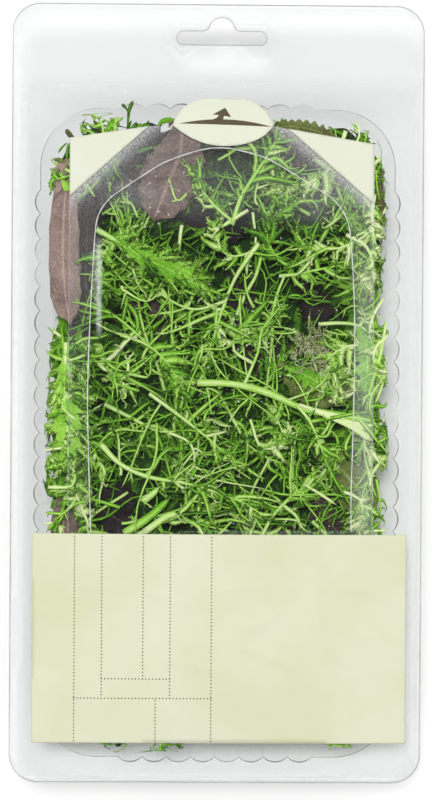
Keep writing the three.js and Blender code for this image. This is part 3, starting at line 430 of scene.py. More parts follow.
def tray_mesh():
    stations = cup_profile()
    rings = []
    for inset, height, flute in stations:
        loop = rounded_loop(CAVITY, inset=min(inset, CAVITY["corner"] - 0.5), flute=flute, arc=16)
        rings.append([(x, y, height) for x, y in loop])
    middle = np.array(rings)
    around = np.roll(middle, -1, axis=1) - np.roll(middle, 1, axis=1)
    down = np.gradient(middle, axis=0)
    normal = unit(np.cross(down, around))
    normal[normal[:, :, 2] < 0] *= -1
    normal[0] = normal[-1] = UP
    points, faces = [], []
    offset = 0
    count = middle.shape[1]
    for side in (1, -1):
        skin = middle + normal * side * SHEET / 2
        centre = np.array([[0, CAVITY["centre_y"], skin[-1, 0, 2]]])
        points += [skin.reshape(-1, 3), centre]
        for row in range(len(stations)):
            here = offset + row * count + np.arange(count)
            ahead = offset + row * count + (np.arange(count) + 1) % count
            if row + 1 < len(stations):
                pair = np.vstack([
                    np.column_stack([here, ahead, ahead + count]),
                    np.column_stack([here, ahead + count, here + count]),
                ])
            else:
                hub = np.full(count, offset + len(stations) * count)
                pair = np.column_stack([here, ahead, hub])
            faces.append(pair if side > 0 else pair[:, ::-1])
        offset += len(stations) * count + 1
    outline = divided(rounded_loop(PACK), 8)
    rim = [(x, y) for x, y, _ in rings[0]]
    flat, flange = fill(outline, [slot_loop(), rim], 8)
    height = np.full(len(flat), TRAY_HEIGHT - CAD_SHEET / 2)
    sheet, sheet_faces = slab(flat, flange, height - SHEET / 2, height + SHEET / 2)
    at_rim = {(round(x, 3), round(y, 3)) for x, y in rim}
    on_rim = np.array([(round(x, 3), round(y, 3)) in at_rim for x, y in sheet[:, :2]])
    upright = on_rim[sheet_faces].all(axis=1) & (np.ptp(sheet[sheet_faces][:, :, 2], axis=1) > 0.1)
    faces.append(sheet_faces[~upright] + offset)
    points.append(sheet)
    return weld(np.vstack(points), np.vstack(faces))


# Leaves

def layer_height(layer, x, y):
    """The middle of a layer of leaves: layers fill the space between the floor and the domed film."""
    share = (layer + 0.5) / LAYERS
    lid = TRAY_HEIGHT + 0.3 + dome(x, y) - 0.4
    sway = SWAY * np.sin(math.pi * share) * np.sin(x / 23 + 0.6) * np.cos(y / 31)
    return lerp(FLOOR_TOP, lid, share) + sway


def settled(points):
    """Points of leaves, pressed in where they would reach the wall, the film or the floor."""
    x, y, z = points.T
    height = np.clip(z / TRAY_HEIGHT, 0, 1)
    inset = CAD_SHEET + GAP["wall"] + WALL_LEAN * (1 - height)
    corner = CAVITY["corner"] - inset
    centred = y - CAVITY["centre_y"]
    over_x = np.abs(x) - (CAVITY["width"] / 2 - inset - corner)
    over_y = np.abs(centred) - (CAVITY["length"] / 2 - inset - corner)
    out_x, out_y = np.maximum(0, over_x), np.maximum(0, over_y)
    deep = np.minimum(0, np.maximum(over_x, over_y))
    away = np.hypot(out_x, out_y)
    room = corner - away - deep
    shift = pressed(room, SOFT["wall"]) - room
    share = np.maximum(away, 1e-9)
    x = x - np.sign(x) * np.where(away > 0, out_x / share, over_x >= over_y) * shift
    y = y - np.sign(centred) * np.where(away > 0, out_y / share, over_x < over_y) * shift
    high = film_height(x, y) - GAP["film"]
    z = high - pressed(high - z, SOFT["film"])
    low = CAD_SHEET + FOOT["recess"] + GAP["floor"]
    z = low + pressed(z - low, SOFT["floor"])
    return np.column_stack([x, y, z])


def pressed(room, soft):
    """Room that stays over zero however little there is, and is left as it is where it is ample."""
    return np.where(room < soft, soft * np.exp(np.minimum(room, soft) / soft - 1), room)


def rib_curve(rib, shares):
    """Points and directions of a smooth curve through the rib's points."""
    marks = np.array(rib, dtype=float)
    padded = np.vstack([2 * marks[0] - marks[1], marks, 2 * marks[-1] - marks[-2]])
    spans = len(marks) - 1
    place = np.clip(shares, 0, 1) * spans
    index = np.minimum(place.astype(int), spans - 1)
    w = (place - index)[:, None]
    p0, p1, p2, p3 = (padded[index + k] for k in range(4))
    t0, t1 = 0.5 * (p2 - p0), 0.5 * (p3 - p1)
    square, cube = 3 * (p2 - p1) - 2 * t0 - t1, 2 * (p1 - p2) + t0 + t1
    point = p1 + w * (t0 + w * (square + w * cube))
    slope = t0 + w * (2 * square + 3 * w * cube)
    return point, unit(slope)


def rib_length(rib):
    point, _ = rib_curve(rib, np.linspace(0, 1, 60))
    return np.linalg.norm(np.diff(point, axis=0), axis=1).sum()


class Foliage:
    """Gathers the strands and blades of one piece of foliage, with numbers for each point."""

    def __init__(self):
        self.points, self.faces = [], []
        self.tone, self.across, self.along = [], [], []
        self.count = 0

    def collect(self, points, faces, tone, across, along):
        """Adds a mesh of points with their tone, their place across and their place along."""
        self.points.append(points.reshape(-1, 3))
        self.faces.append(faces.reshape(-1, 3) + self.count)
        self.count += len(self.points[-1])
        for kept, numbers in ((self.tone, tone), (self.across, across), (self.along, along)):
            kept.append(np.broadcast_to(numbers, points.shape[:-1]).ravel())

    def strand(self, centre, across, half_width, half_thick, tone, sides=8):
        """One strand along a line of points. What is one number or direction holds all along it."""
        rings = len(centre) - 1
        half_width, half_thick = (np.broadcast_to(part, rings + 1) for part in (half_width, half_thick))
        tone = np.broadcast_to(tone, rings + 1)
        tangent = unit(np.gradient(centre, axis=0))
        across = unit(across - tangent * (across * tangent).sum(axis=1, keepdims=True))
        up = np.cross(tangent, across)
        ring = ring_points(centre[None], across[None], up[None], half_width[None], half_thick[None], sides)
        self.collect(ring, strand_faces(rings, sides), *strand_numbers(tone, rings, sides))

    def piece(self, name, material, slot, nodes=(), held=True):
        """Makes the piece. Leaves that the pack holds are pressed in where they would reach it."""
        values = {key: np.concatenate(getattr(self, key)) for key in ("tone", "across", "along")}
        points = np.vstack(self.points)
        if held:
            points = settled(points)
        return make_piece(name, points, np.vstack(self.faces), material, slot, nodes, values)


def ring_points(centre, across, up, half_width, half_thick, sides):
    """Rings round lines of points, shaped (strand, point along it, 3). The last point is the tip."""
    angles = np.arange(sides) * 2 * np.pi / sides if sides != 3 else np.array([0, np.pi, 1.5 * np.pi])
    aside = across[:, :-1, None] * (half_width[:, :-1, None] * np.cos(angles))[..., None]
    lift = up[:, :-1, None] * (half_thick[:, :-1, None] * np.sin(angles))[..., None]
    rings = centre[:, :-1, None] + aside + lift
    return np.concatenate([rings.reshape(len(centre), -1, 3), centre[:, -1:]], axis=1)


def strand_faces(rings, sides):
    """Triangles of one closed strand: its rings in order and then its tip."""
    found = [(0, k + 1, k) for k in range(1, sides - 1)]
    for ring in range(rings):
        for k in range(sides):
            a, b = ring * sides + k, ring * sides + (k + 1) % sides
            if ring + 1 < rings:
                found += [(a, b, b + sides), (a, b + sides, a + sides)]
            else:
                found.append((a, b, rings * sides))
    return np.array(found)


def strand_numbers(tone, rings, sides):
    """Tone, place across and place along for the points of strands, as ring_points orders them."""
    tone = np.atleast_2d(tone)
    spread = np.concatenate([np.repeat(tone[:, :-1], sides, axis=1), tone[:, -1:]], axis=1)
    across = np.concatenate([np.tile(np.cos(np.arange(sides) * 2 * np.pi / sides), rings), [0.0]])
    along = np.concatenate([np.repeat(np.arange(rings) / rings, sides), [1.0]])
    return spread, across[None], along[None]


class Strands:
    """Many curved strands at once. Each leaves its root forwards, bends on its way and waves a little."""

    def __init__(self, root, forward, bend, wave, normal, length, width, tone):
        self.root, self.forward, self.bend, self.wave = root, unit(forward), bend, wave
        self.normal, self.length, self.width, self.tone = unit(normal), length, width, tone

    def at(self, shares):
        """Points and directions at shares of the way, shaped (strand, share)."""
        s = shares[..., None]
        reach = self.length[:, None, None]
        forward, bend, wave = (part[:, None] for part in (self.forward, self.bend, self.wave))
        swing, swing_rate = s * np.sin(6 * s), np.sin(6 * s) + 6 * s * np.cos(6 * s)
        point = self.root[:, None] + reach * (forward * s + bend * s ** 2 + wave * swing)
        return point, unit(forward + 2 * s * bend + wave * swing_rate)

    def grow(self, foliage, rings, sides, tip_width, flat=0.4, swell=0.0):
        """Meshes the strands. They may swell on their way, and narrow to tip_width before their tip."""
        shares = np.broadcast_to(np.linspace(0, 1, rings + 1), (len(self.length), rings + 1))
        centre, tangent = self.at(shares)
        across = unit(np.cross(self.normal[:, None], tangent))
        up = np.cross(tangent, across)
        half = lerp(self.width[:, None], tip_width, shares) / 2 * (1 + swell * np.sin(math.pi * shares))
        points = ring_points(centre, across, up, half, half * flat, sides)
        one = strand_faces(rings, sides)
        starts = np.arange(len(points))[:, None, None] * points.shape[1]
        tone = self.tone[:, None] + TIP_TONE * shares
        foliage.collect(points, one[None] + starts, *strand_numbers(tone, rings, sides))

    def branches(self, count, first, last, reach, width, least=1.0, curl=0.35):
        """Side strands, by turns to the left and right of each strand."""
        many = len(self.length)
        size = many * count
        turns = np.arange(count)
        share = first + (last - first) * (turns + rng.uniform(0.05, 0.95, (many, count))) / count
        side = np.where((turns + rng.integers(0, 2, (many, 1))) % 2, 1.0, -1.0)
        point, tangent = self.at(share)
        out = np.cross(self.normal[:, None], tangent) * side[..., None]
        turn = np.radians(rng.uniform(*BRANCH_ANGLE, (many, count)))[..., None]
        tilt = rng.uniform(-0.35, 0.5, (many, count, 1))
        forward = tangent * np.cos(turn) + out * np.sin(turn) + self.normal[:, None] * tilt
        bend = tangent * rng.uniform(-0.3, curl, (many, count, 1)) + rng.normal(0, 0.32, (many, count, 3))
        normal = self.normal[:, None] + rng.normal(0, 0.4, (many, count, 3))
        length = least + reach * self.length[:, None] * (1.15 - share) * rng.uniform(0.5, 1.4, (many, count))
        widths = width * rng.uniform(0.75, 1.25, (many, count))
        tone = self.tone[:, None] + rng.normal(-0.03, 0.06, (many, count))
        wave = rng.normal(0, 0.06, (size, 3))
        point, forward, bend, normal = (part.reshape(size, 3) for part in (point, forward, bend, normal))
        return Strands(point, forward, bend, wave, normal, length.ravel(), widths.ravel(), tone.ravel())


def frond_lobes(pairs, start, length, angle, seed):
    """The lobes of a frond, a pair in each step along its rib, as the solids have them."""
    step = (1 - TIP_GAP - start) / pairs
    found = []
    for i in range(pairs):
        for side in (1, -1):
            count = i * 2 + (1 if side > 0 else 0)
            shift = 0.28 if side > 0 else 0.72
            t = start + step * (i + shift + 0.1 * (chance(seed, count) - 0.5))
            u = (t - start) / (1 - start)
            swell = math.sin(math.pi * (0.2 + 0.68 * u)) ** 0.7
            long = length * swell * (0.72 + 0.5 * chance(seed, count + 40))
            turn = math.radians(angle * (1 - 0.3 * u) + 10 * (chance(seed, count + 80) - 0.5))
            found.append((t, side, long, turn))
    return found


# Ways a frond's lobes grow: their reach, how far they stray and curl, and their teeth
STYLES = {
    "toothed": {"reach": (0.45, 1.25), "stray": 0.4, "curl": 0.55, "wave": 0.17, "width": 1.7, "swell": 0.5,
                "flat": 0.25, "teeth": 3, "tooth_reach": 0.26, "tooth_width": 1.0, "between": 0.45},
    "thready": {"reach": (0.5, 1.6), "stray": 0.55, "curl": 0.65, "wave": 0.2, "width": 0.95, "swell": 0.0,
                "flat": 0.5, "teeth": 1, "tooth_reach": 0.42, "tooth_width": 0.7, "between": 0.2},
    "sprig": {"reach": (0.6, 1.3), "stray": 0.3, "curl": 0.25, "wave": 0.1, "width": 1.2, "swell": 0.3,
              "flat": 0.3, "teeth": 1, "tooth_reach": 0.3, "tooth_width": 0.85, "between": 0.0},
    "broad": {"reach": (0.75, 1.2), "stray": 0.24, "curl": 0.3, "wave": 0.1, "width": 3.0, "swell": 0.5,
              "flat": 0.1, "teeth": 6, "tooth_reach": 0.2, "tooth_width": 1.8, "between": 0.8},
    "leafy": {"reach": (0.5, 1.15), "stray": 0.34, "curl": 0.44, "wave": 0.12, "width": 2.3, "swell": 0.8,
              "flat": 0.1, "teeth": 4, "tooth_reach": 0.22, "tooth_width": 1.5, "between": 0.6},
}


def frond(foliage, layer, rib, tone, width=(2.6, 1.0), pairs=0, start=0.35, length=12, angle=58,
          teeth=1, seed=1, style=None, fine=True, paler=0.0):
    """A leaf cut to its rib: a pale stalk and rib with curved lobes that carry teeth or side threads."""
    tone = tone + paler
    whole = rib_length(rib)
    shares = np.linspace(0, 1, max(5, int(whole / 2.4)))
    flat, along = rib_curve(rib, shares)
    wave = 0.5 * np.sin(shares * whole / 9 + seed)
    height = layer_height(layer, flat[:, 0], flat[:, 1]) + wave
    centre = np.column_stack([flat, height])
    aside = np.column_stack([-along[:, 1], along[:, 0], np.zeros(len(flat))])
    half = 0.72 * lerp(width[0], width[1], shares) / 2 * (1 + 0.08 * np.sin(shares * whole / 4 + 2 * seed))
    rib_tone = tone + 0.28 - 0.2 * shares
    foliage.strand(centre, aside, half, lerp(STALK_THICK, 0.4, shares), rib_tone)
    if not pairs:
        return
    form = STYLES[style or ("toothed" if teeth else "thready")]
    lobes = frond_lobes(pairs, start, length, angle, seed)
    gap = (1 - TIP_GAP - start) / pairs / 2
    lobes += [(min(0.98, t + gap), side, 0.55 * long, turn) for t, side, long, turn in lobes
              if rng.uniform() < form["between"]]
    lobes += [(0.97, 0.2, 0.45 * length, 0.5), (0.97, -0.2, 0.4 * length, 0.6)]
    t, side, long, turn = (np.array(column) for column in zip(*lobes))
    many = len(t)
    t = np.clip(t + rng.normal(0, 0.25 * gap, many), 0, 0.98)
    turn = turn + rng.normal(0, form["stray"], many)
    long = long * rng.uniform(*form["reach"], many)
    flat, along = rib_curve(rib, t)
    out = np.column_stack([-along[:, 1], along[:, 0]]) * np.sign(side)[:, None]
    forward = along * np.cos(turn)[:, None] + out * np.sin(turn)[:, None]
    root = np.column_stack([flat, layer_height(layer, *flat.T) + 0.5 * np.sin(t * whole / 9 + seed)])
    forward = np.column_stack([forward, rng.uniform(-0.3, 0.35, many)])
    bend = np.column_stack([along * LOBE_CURL, np.zeros(many)]) + rng.normal(0, form["curl"], (many, 3))
    sway = rng.normal(0, form["wave"], (many, 3))
    normal = UP + rng.normal(0, 0.45, (many, 3))
    tones = tone + rng.normal(0.06, 0.11, many)
    widths = form["width"] * rng.uniform(0.7, 1.2, many)
    lobe = Strands(root, forward, bend, sway, normal, long, widths, tones)
    lobe.grow(foliage, 8 if fine else 6, 4, tip_width=0.5, flat=form["flat"], swell=form["swell"])
    count = form["teeth"] + teeth
    tooth = lobe.branches(count, 0.2, 1.0, form["tooth_reach"], form["tooth_width"], curl=0.6)
    tooth.grow(foliage, 4 if fine else 3, 3, tip_width=0.42)
    if fine:
        tooth.branches(1, 0.3, 0.85, 0.5, 0.75, least=0.7).grow(foliage, 2, 3, tip_width=0.4)


def blade(foliage, layer, rib, tone, half_width, stalk=0.12, stalk_width=2.4, stations=14, tooth=0.1,
          slant=0.0, seed=1, frill=0, wave=1.0, finer=6, columns=11):
    """A leaf with a whole blade, waved and toothed at its margin. Frills are strands at its teeth."""
    rows = stations * finer
    shares = np.arange(rows + 1) / rows
    flat, along = rib_curve(rib, shares)
    step = rib_length(rib) / stations
    left = np.column_stack([-along[:, 1], along[:, 0]])
    phase = shares * stations
    odd = 1 - np.abs(phase % 2 - 1)
    u = np.maximum(0, (shares - stalk) / (1 - stalk))
    swell = np.sin(math.pi * (0.05 + 0.9 * u) ** 1.15) ** 0.7
    nick = tooth * (2 * odd ** 1.5 - 1) + 0.3 * tooth * np.sin(phase * 6.1 + seed)
    half = np.maximum(stalk_width / 2, half_width * swell * (1 + nick))
    half = np.where(shares < stalk, stalk_width / 2, half)
    half = half * np.minimum(1, (1 - shares) * stations * 0.8 + 0.02)
    column = np.linspace(-1, 1, columns)
    aside = np.abs(column)
    lean = slant * step * odd[:, None] * aside * np.minimum(1, half / half_width)[:, None]
    place = flat[:, None] - left[:, None] * (column * half[:, None])[..., None]
    place = place + along[:, None] * lean[..., None]
    x, y = place[..., 0], place[..., 1]
    on_blade = (shares >= stalk)[:, None]
    rise = aside * 0.75 * np.sin(1.3 * phase[:, None] + 2 * column + 6 * chance(seed, 1))
    rise = rise + 0.5 * aside ** 2 * np.sin(3.1 * phase[:, None] - 3 * column + seed)
    z = layer_height(layer, x, y) + wave * rise * on_blade
    thick = lerp(lerp(0.8, 0.45, shares)[:, None], 0.16, np.where(on_blade, np.sqrt(aside), 0))
    thick = thick * np.where(aside > 0.999, 0.05, 1.0)
    top, bottom = np.dstack([x, y, z + thick]), np.dstack([x, y, z - thick])
    shade = tone + 0.05 * odd[:, None] * aside - 0.04 * (1 - on_blade)
    numbers = np.broadcast_arrays(shade, column[None], shares[:, None])
    foliage.collect(*closed_blade(top, bottom), *(np.tile(part, (2, 1, 1)).reshape(-1) for part in numbers))
    teeth = np.array([row for row in range(finer, rows, 2 * finer) if shares[row] > stalk])
    for edge, outward in ((0, left), (columns - 1, -left)):
        for _ in range(frill):
            frilled_margin(foliage, top[:, edge], along, outward, teeth, tone)


def closed_blade(top, bottom):
    """Points and triangles of a closed blade, from the grids of its upper and its lower points."""
    rows, columns = top.shape[:2]
    points = np.concatenate([top, bottom]).reshape(-1, 3)
    index = np.arange(len(points)).reshape(2, rows, columns)
    a, b = index[:, :-1, :-1], index[:, :-1, 1:]
    c, d = index[:, 1:, 1:], index[:, 1:, :-1]
    quads = np.stack([np.stack([a, b, c], -1), np.stack([a, c, d], -1)])
    upper, lower = quads[:, 0].reshape(-1, 3), quads[:, 1].reshape(-1, 3)[:, ::-1]
    loop = np.concatenate([index[0, :, 0], index[0, -1, 1:], index[0, -2::-1, -1], index[0, 0, -2:0:-1]])
    after, drop = np.roll(loop, -1), rows * columns
    sides = np.vstack([
        np.column_stack([loop, after, after + drop]),
        np.column_stack([loop, after + drop, loop + drop]),
    ])
    return points, np.vstack([upper, lower, sides])


def frilled_margin(foliage, margin, along, outward, teeth, tone):
    """Short curled strands at the teeth of one margin of a blade."""
    pick = np.clip(teeth + rng.integers(-2, 3, len(teeth)), 0, len(margin) - 1)
    many = len(pick)
    aside = np.column_stack([outward[pick], rng.uniform(-0.4, 0.5, many)])
    ahead = np.column_stack([along[pick], np.zeros(many)])
    forward = unit(aside + ahead * rng.uniform(0.1, 1.0, (many, 1)))
    bend = rng.normal(0, 0.3, (many, 3))
    length = rng.uniform(2.5, 5.5, many)
    normal = UP + rng.normal(0, 0.5, (many, 3))
    wave = rng.normal(0, 0.06, (many, 3))
    width = rng.uniform(1.0, 1.7, many)
    tones = tone + rng.normal(0.04, 0.06, many)
    tips = Strands(margin[pick] - forward * 0.8, forward, bend, wave, normal, length, width, tones)
    tips.grow(foliage, 4, 3, tip_width=0.5)
    tips.branches(2, 0.3, 0.95, 0.5, 0.9).grow(foliage, 2, 3, tip_width=0.4)


def lobed_blade(foliage, layer, rib, tone, lobes=None, **spec):
    """A leaf with a whole blade, and with lobes like a frond's where lobes says how they grow."""
    if lobes:
        frond(foliage, layer, rib, tone + 0.06, **lobes)
    blade(foliage, layer, rib, tone, **spec)


# Tones: 0 is deep green, 1 is the palest stalk
GREEN, DEEP, PALE = 0.5, 0.2, 0.68

# Leaves that show through the window, listed one by one. Each rib runs from the stalk's cut end to the tip.
HAND_LAID = [
    ("stem_long", GREEN, 14, [
        {"rib": [(-7, 4), (6, 3.5), (18, 0.5), (31, -5), (45, -7.5), (57, -9)],
         "width": (3.5, 3.6), "pairs": 2, "start": 0.86, "length": 8},
        {"rib": [(29, -3.6), (39, -6.6), (48, -8.2), (57.5, -8.2)], "width": (1.6, 3.6), "paler": 0.3},
        {"rib": [(33, -5.2), (41, -7.8), (49, -10.4), (57.5, -12)], "width": (1.6, 4.2), "paler": 0.34},
        {"rib": [(35, -6), (42, -8.8), (49, -12), (56, -16.6)], "width": (1.4, 4), "paler": 0.3},
        {"rib": [(9.5, 3), (14.5, 15), (16, 23), (23, 32)],
         "width": (1.8, 0.8), "pairs": 4, "start": 0.3, "length": 10, "teeth": 0, "seed": 4},
        {"rib": [(25, -2), (33, 1), (38, 5), (40, 9)],
         "width": (1.4, 0.8), "pairs": 1, "start": 0.6, "length": 5, "teeth": 0, "seed": 5},
        {"rib": [(28, -3.5), (33, -9.5), (36.5, -17.5), (40, -25)],
         "width": (1.8, 0.8), "pairs": 4, "start": 0.3, "length": 12, "seed": 6},
    ]),
    ("frond_lower_left", PALE, 14, [
        {"rib": [(-41, -18), (-34, -25), (-24, -29.5), (-9.5, -32), (6.5, -37), (17, -43)],
         "width": (2.8, 1), "pairs": 6, "start": 0.36, "length": 16, "seed": 7},
    ]),
    ("frond_top", GREEN, 14, [
        {"rib": [(5, 60), (8, 69.5), (12.5, 77), (17, 84), (21, 91)],
         "width": (2.6, 1), "pairs": 6, "start": 0.22, "length": 14, "teeth": 2, "seed": 11},
        {"rib": [(5.5, 61), (0.5, 65), (-5, 71), (-8, 78)],
         "width": (2, 0.9), "pairs": 5, "start": 0.25, "length": 9, "seed": 12},
    ]),
    ("stem_upper_middle", PALE, 13, [
        {"rib": [(14.5, 53.5), (7, 42.5), (2.5, 32), (-0.5, 22.5), (-4, 12)],
         "width": (2.4, 0.9), "pairs": 5, "start": 0.4, "length": 15, "seed": 13},
        {"rib": [(3, 33), (-8, 30), (-18, 34), (-27, 42)],
         "width": (1.8, 0.8), "pairs": 5, "start": 0.3, "length": 12, "seed": 14},
    ]),
    ("stem_middle_left", PALE, 13, [
        {"rib": [(-24, 0), (-13, -8), (-1, -17.5), (8, -26.5)],
         "width": (2.2, 0.9), "pairs": 4, "start": 0.4, "length": 12, "seed": 15},
    ]),
    ("frond_right", GREEN, 13, [
        {"rib": [(22, 42), (29.5, 43), (36, 44.5), (45.5, 46.5)],
         "width": (2, 1), "pairs": 5, "start": 0.1, "length": 21, "angle": 72, "teeth": 2, "seed": 17},
        {"rib": [(24, 42.5), (21, 35), (19, 27), (15, 18)],
         "width": (1.6, 0.8), "pairs": 4, "start": 0.3, "length": 10, "seed": 18},
    ]),
    ("stem_right_arc", PALE, 13, [
        {"rib": [(36, 25), (44, 25.5), (50.5, 24.5), (56, 20), (58, 12), (58.5, 4)],
         "width": (2, 0.9), "pairs": 4, "start": 0.35, "length": 9, "seed": 19},
    ]),
    ("frond_bottom_left", PALE, 13, [
        {"rib": [(-38, -57), (-27, -50), (-20, -46), (-11, -43.5), (0, -41)],
         "width": (3.4, 1.2), "pairs": 5, "length": 17, "seed": 21},
    ]),
    ("stem_left_short", PALE, 13, [
        {"rib": [(-51.5, -11.5), (-46, -7.5), (-40, -3.5)], "width": (1.8, 1.4)},
    ]),
    ("frond_middle_left", GREEN, 12, [
        {"rib": [(-18.5, 1), (-21.5, 11), (-25, 17.5), (-30, 22.5), (-37, 28), (-42, 30)],
         "width": (2, 0.9), "pairs": 6, "start": 0.25, "length": 14, "seed": 23},
        {"rib": [(-24, 16.5), (-27, 26), (-28, 33), (-28.5, 39), (-31, 46.5)],
         "width": (1.6, 0.8), "pairs": 4, "start": 0.3, "length": 12, "teeth": 0, "seed": 25},
        {"rib": [(-21.5, 11), (-16.5, 15), (-12, 17.5), (-6.5, 19)],
         "width": (1.5, 0.8), "pairs": 4, "start": 0.3, "length": 11, "teeth": 0, "seed": 27},
    ]),
    ("stem_tall_right", GREEN, 12, [
        {"rib": [(7, 28), (10, 35.5), (14, 43), (16.5, 54), (19, 66.5), (21.5, 73), (24, 79)],
         "width": (2.4, 1), "pairs": 6, "start": 0.3, "length": 15, "seed": 29},
    ]),
    ("frond_middle_right", GREEN, 12, [
        {"rib": [(1, 0), (7, -11), (11, -17.5), (17, -22), (24, -24.5), (30, -23.5)],
         "width": (1.8, 0.9), "pairs": 6, "start": 0.12, "length": 20, "seed": 31},
    ]),
    ("frond_bottom_right", GREEN, 13, [
        {"rib": [(15, -53), (20, -43.5), (25, -38), (29, -34.5), (35, -31.5)],
         "width": (2.2, 1.2), "pairs": 5, "start": 0.2, "length": 15, "teeth": 2, "seed": 33},
    ]),
    ("frond_left_curl", GREEN, 11, [
        {"rib": [(-40, -4), (-30, -9), (-22, -13), (-14.5, -13.5), (-8.5, -11), (-3, -11.5)],
         "width": (2.2, 1.1), "pairs": 6, "start": 0.15, "length": 18, "seed": 35},
    ]),
    ("frond_upper_right", GREEN, 11, [
        {"rib": [(39, 82), (42.5, 75), (46, 66), (49, 57), (50.5, 46)],
         "width": (2, 0.9), "pairs": 6, "start": 0.1, "length": 15, "seed": 37},
    ]),
    ("sprig_top_left", DEEP, 11, [
        {"rib": [(-38, 70), (-40, 80), (-41.5, 88), (-43, 95)],
         "width": (1.6, 0.8), "pairs": 4, "start": 0.3, "length": 8, "teeth": 0, "seed": 43},
    ]),
    ("frond_panel_4", GREEN, 11, [
        {"rib": [(48, -116), (38, -104), (30, -88), (28, -70), (32, -54)],
         "pairs": 6, "length": 16, "seed": 59},
    ]),
]

CUT_MARGIN = {"tooth": 0.22, "slant": 0.7, "frill": 2}

# Leaves with a whole blade that show through the window or lie under the panel
BLADES = [
    ("frill_upper_left", GREEN, 14, {
        "rib": [(-43, 58), (-35, 53.5), (-26, 48), (-15, 43), (-5, 38.5)], "half_width": 4.5,
        "stalk": 0.3, "stalk_width": 2.2, "stations": 18, "tooth": 0.3, "slant": 0.7, "seed": 2, "frill": 2,
        "lobes": {"pairs": 8, "start": 0.2, "length": 11.5, "angle": 44, "seed": 2, "style": "broad"}}),
    ("frill_left_edge", 0.6, 14, {
        "rib": [(-53.5, 18), (-54, 6), (-53.8, -3), (-52.8, -14), (-52.5, -27)], "half_width": 5.4,
        "stalk": 0.1, "stalk_width": 2.2, "stations": 16, "tooth": 0.26, "slant": 0.7, "seed": 9, "frill": 3,
        "lobes": {"pairs": 7, "start": 0.12, "length": 7.5, "angle": 38, "seed": 9, "style": "broad"}}),
    ("leaf_right_veined", 0.62, 12, {
        "rib": [(22, 11), (28, 8), (37, 3.5), (50, 0)], "half_width": 8.5,
        "stalk": 0.1, "stations": 12, "tooth": 0.08, "seed": 39}),
    ("purple_left", 0.79, 13, {
        "rib": [(-50, 82), (-54, 72), (-55, 50), (-54, 35), (-52, 24)], "half_width": 6.2,
        "stalk": 0.06, "stations": 12, "tooth": 0.05, "seed": 41}),
    ("purple_top", 0.67, 13.4, {
        "rib": [(-13, 98), (-13.5, 86), (-18, 74), (-23, 61)], "half_width": 10.5,
        "stalk": 0.05, "tooth": 0.05, "seed": 45}),
    ("purple_top_right", 0.6, 10, {
        "rib": [(12, 90), (24, 90), (33, 86), (43, 77)], "half_width": 6,
        "stalk": 0.05, "tooth": 0.16, "seed": 47}),
    ("olive_right", 0.6, 11, {
        "rib": [(34, -18), (44, -26), (51, -34), (57, -43)], "half_width": 9,
        "stalk": 0.06, "stations": 12, "tooth": 0.08, "seed": 49}),
    ("purple_bottom_left", 0.68, 12, {
        "rib": [(-55, -34), (-54, -50), (-50, -66), (-47, -82)], "half_width": 7,
        "stalk": 0.05, "stations": 12, "tooth": 0.06, "seed": 51}),
    ("green_panel_1", GREEN, 14, {
        "rib": [(-46, -108), (-30, -98), (-12, -90), (8, -86), (32, -88)], "half_width": 15,
        **CUT_MARGIN, "seed": 53}),
    ("green_panel_2", DEEP, 13, {
        "rib": [(46, -64), (34, -76), (20, -90), (2, -104), (-14, -118)], "half_width": 16,
        **CUT_MARGIN, "seed": 55}),
    ("green_panel_3", GREEN, 12, {
        "rib": [(-50, -72), (-34, -80), (-16, -84), (6, -84), (28, -78)], "half_width": 14,
        **CUT_MARGIN, "seed": 57}),
]


def layer_reach(layer):
    """How far from the middle of the cavity a leaf may reach at a layer, across and along."""
    inset = CAD_SHEET + WALL_GAP + WALL_LEAN * (1 - layer / (LAYERS - 1))
    return CAVITY["width"] / 2 - inset, CAVITY["length"] / 2 - inset


def lower_leaves():
    """Lower leaves: in turn, two long ones along the tray and three across it, every third one purple."""
    found = []
    for layer in range(HAND_LAID_FROM):
        across, along = layer_reach(layer)
        lengthways = layer % 2 == 0
        count = 2 if lengthways else 3
        cell = across if lengthways else 2 * along / count
        half = 0.72 * along if lengthways else 0.94 * across
        for i in range(count):
            seed = 100 + layer * 7 + i * 3
            middle = cell * (i - (count - 1) / 2)
            shift = (1 if (layer // 2 + i) % 2 else -1) * (along - half - 4) if lengthways else 0
            flip = 1 if chance(seed, 1) > 0.5 else -1
            bow = 5 * (chance(seed, 2) - 0.5)
            rib = []
            for share, aside in ((-1, -bow), (-0.4, bow), (0.25, 0.6 * bow), (1, -bow)):
                forward = flip * share * half + shift
                x, y = (middle + aside, forward) if lengthways else (forward, middle + aside)
                rib.append((x, y + CAVITY["centre_y"]))
            purple = (layer + 2 * i) % 3 == 0
            margin = {"stations": 10, "tooth": 0.07} if purple else CUT_MARGIN
            kind = "purple" if purple else "green"
            # Painted shade: from SEEN_FROM_ABOVE up these leaves are near black, partly their own deep
            # colour and partly the shade of the heap above; lower ones are lifted, as they show only through
            # the walls
            lifted = 0.2 if layer < SEEN_FROM_ABOVE else 0
            tone = lifted + (0.36 if purple else DEEP - 0.05 + 0.08 * (i % 2))
            width = (0.5 * cell - 3) / (1 + margin["tooth"])
            spec = {"rib": rib, "half_width": width, "stalk": 0.16, "seed": seed, **margin}
            found.append((f"{kind}_lower_{layer}_{i}", tone, layer, spec))
    return found


# Materials

def add_node(tree, kind, inputs=None, **settings):
    """A node with its settings and inputs, each input a value or another node's output."""
    node = tree.nodes.new(kind)
    for key, value in settings.items():
        setattr(node, key, value)
    for key, value in (inputs or {}).items():
        if isinstance(value, bpy.types.NodeSocket):
            tree.links.new(value, node.inputs[key])
        else:
            node.inputs[key].default_value = value
    return node


def new_material(name):
    material = bpy.data.materials.new(name)
    material.use_nodes = True
    tree = material.node_tree
    tree.nodes.clear()
    return material, tree


def faced(material, shader):
    """The material, with a shader as its surface."""
    add_node(material.node_tree, "ShaderNodeOutputMaterial", {"Surface": shader})
    return material


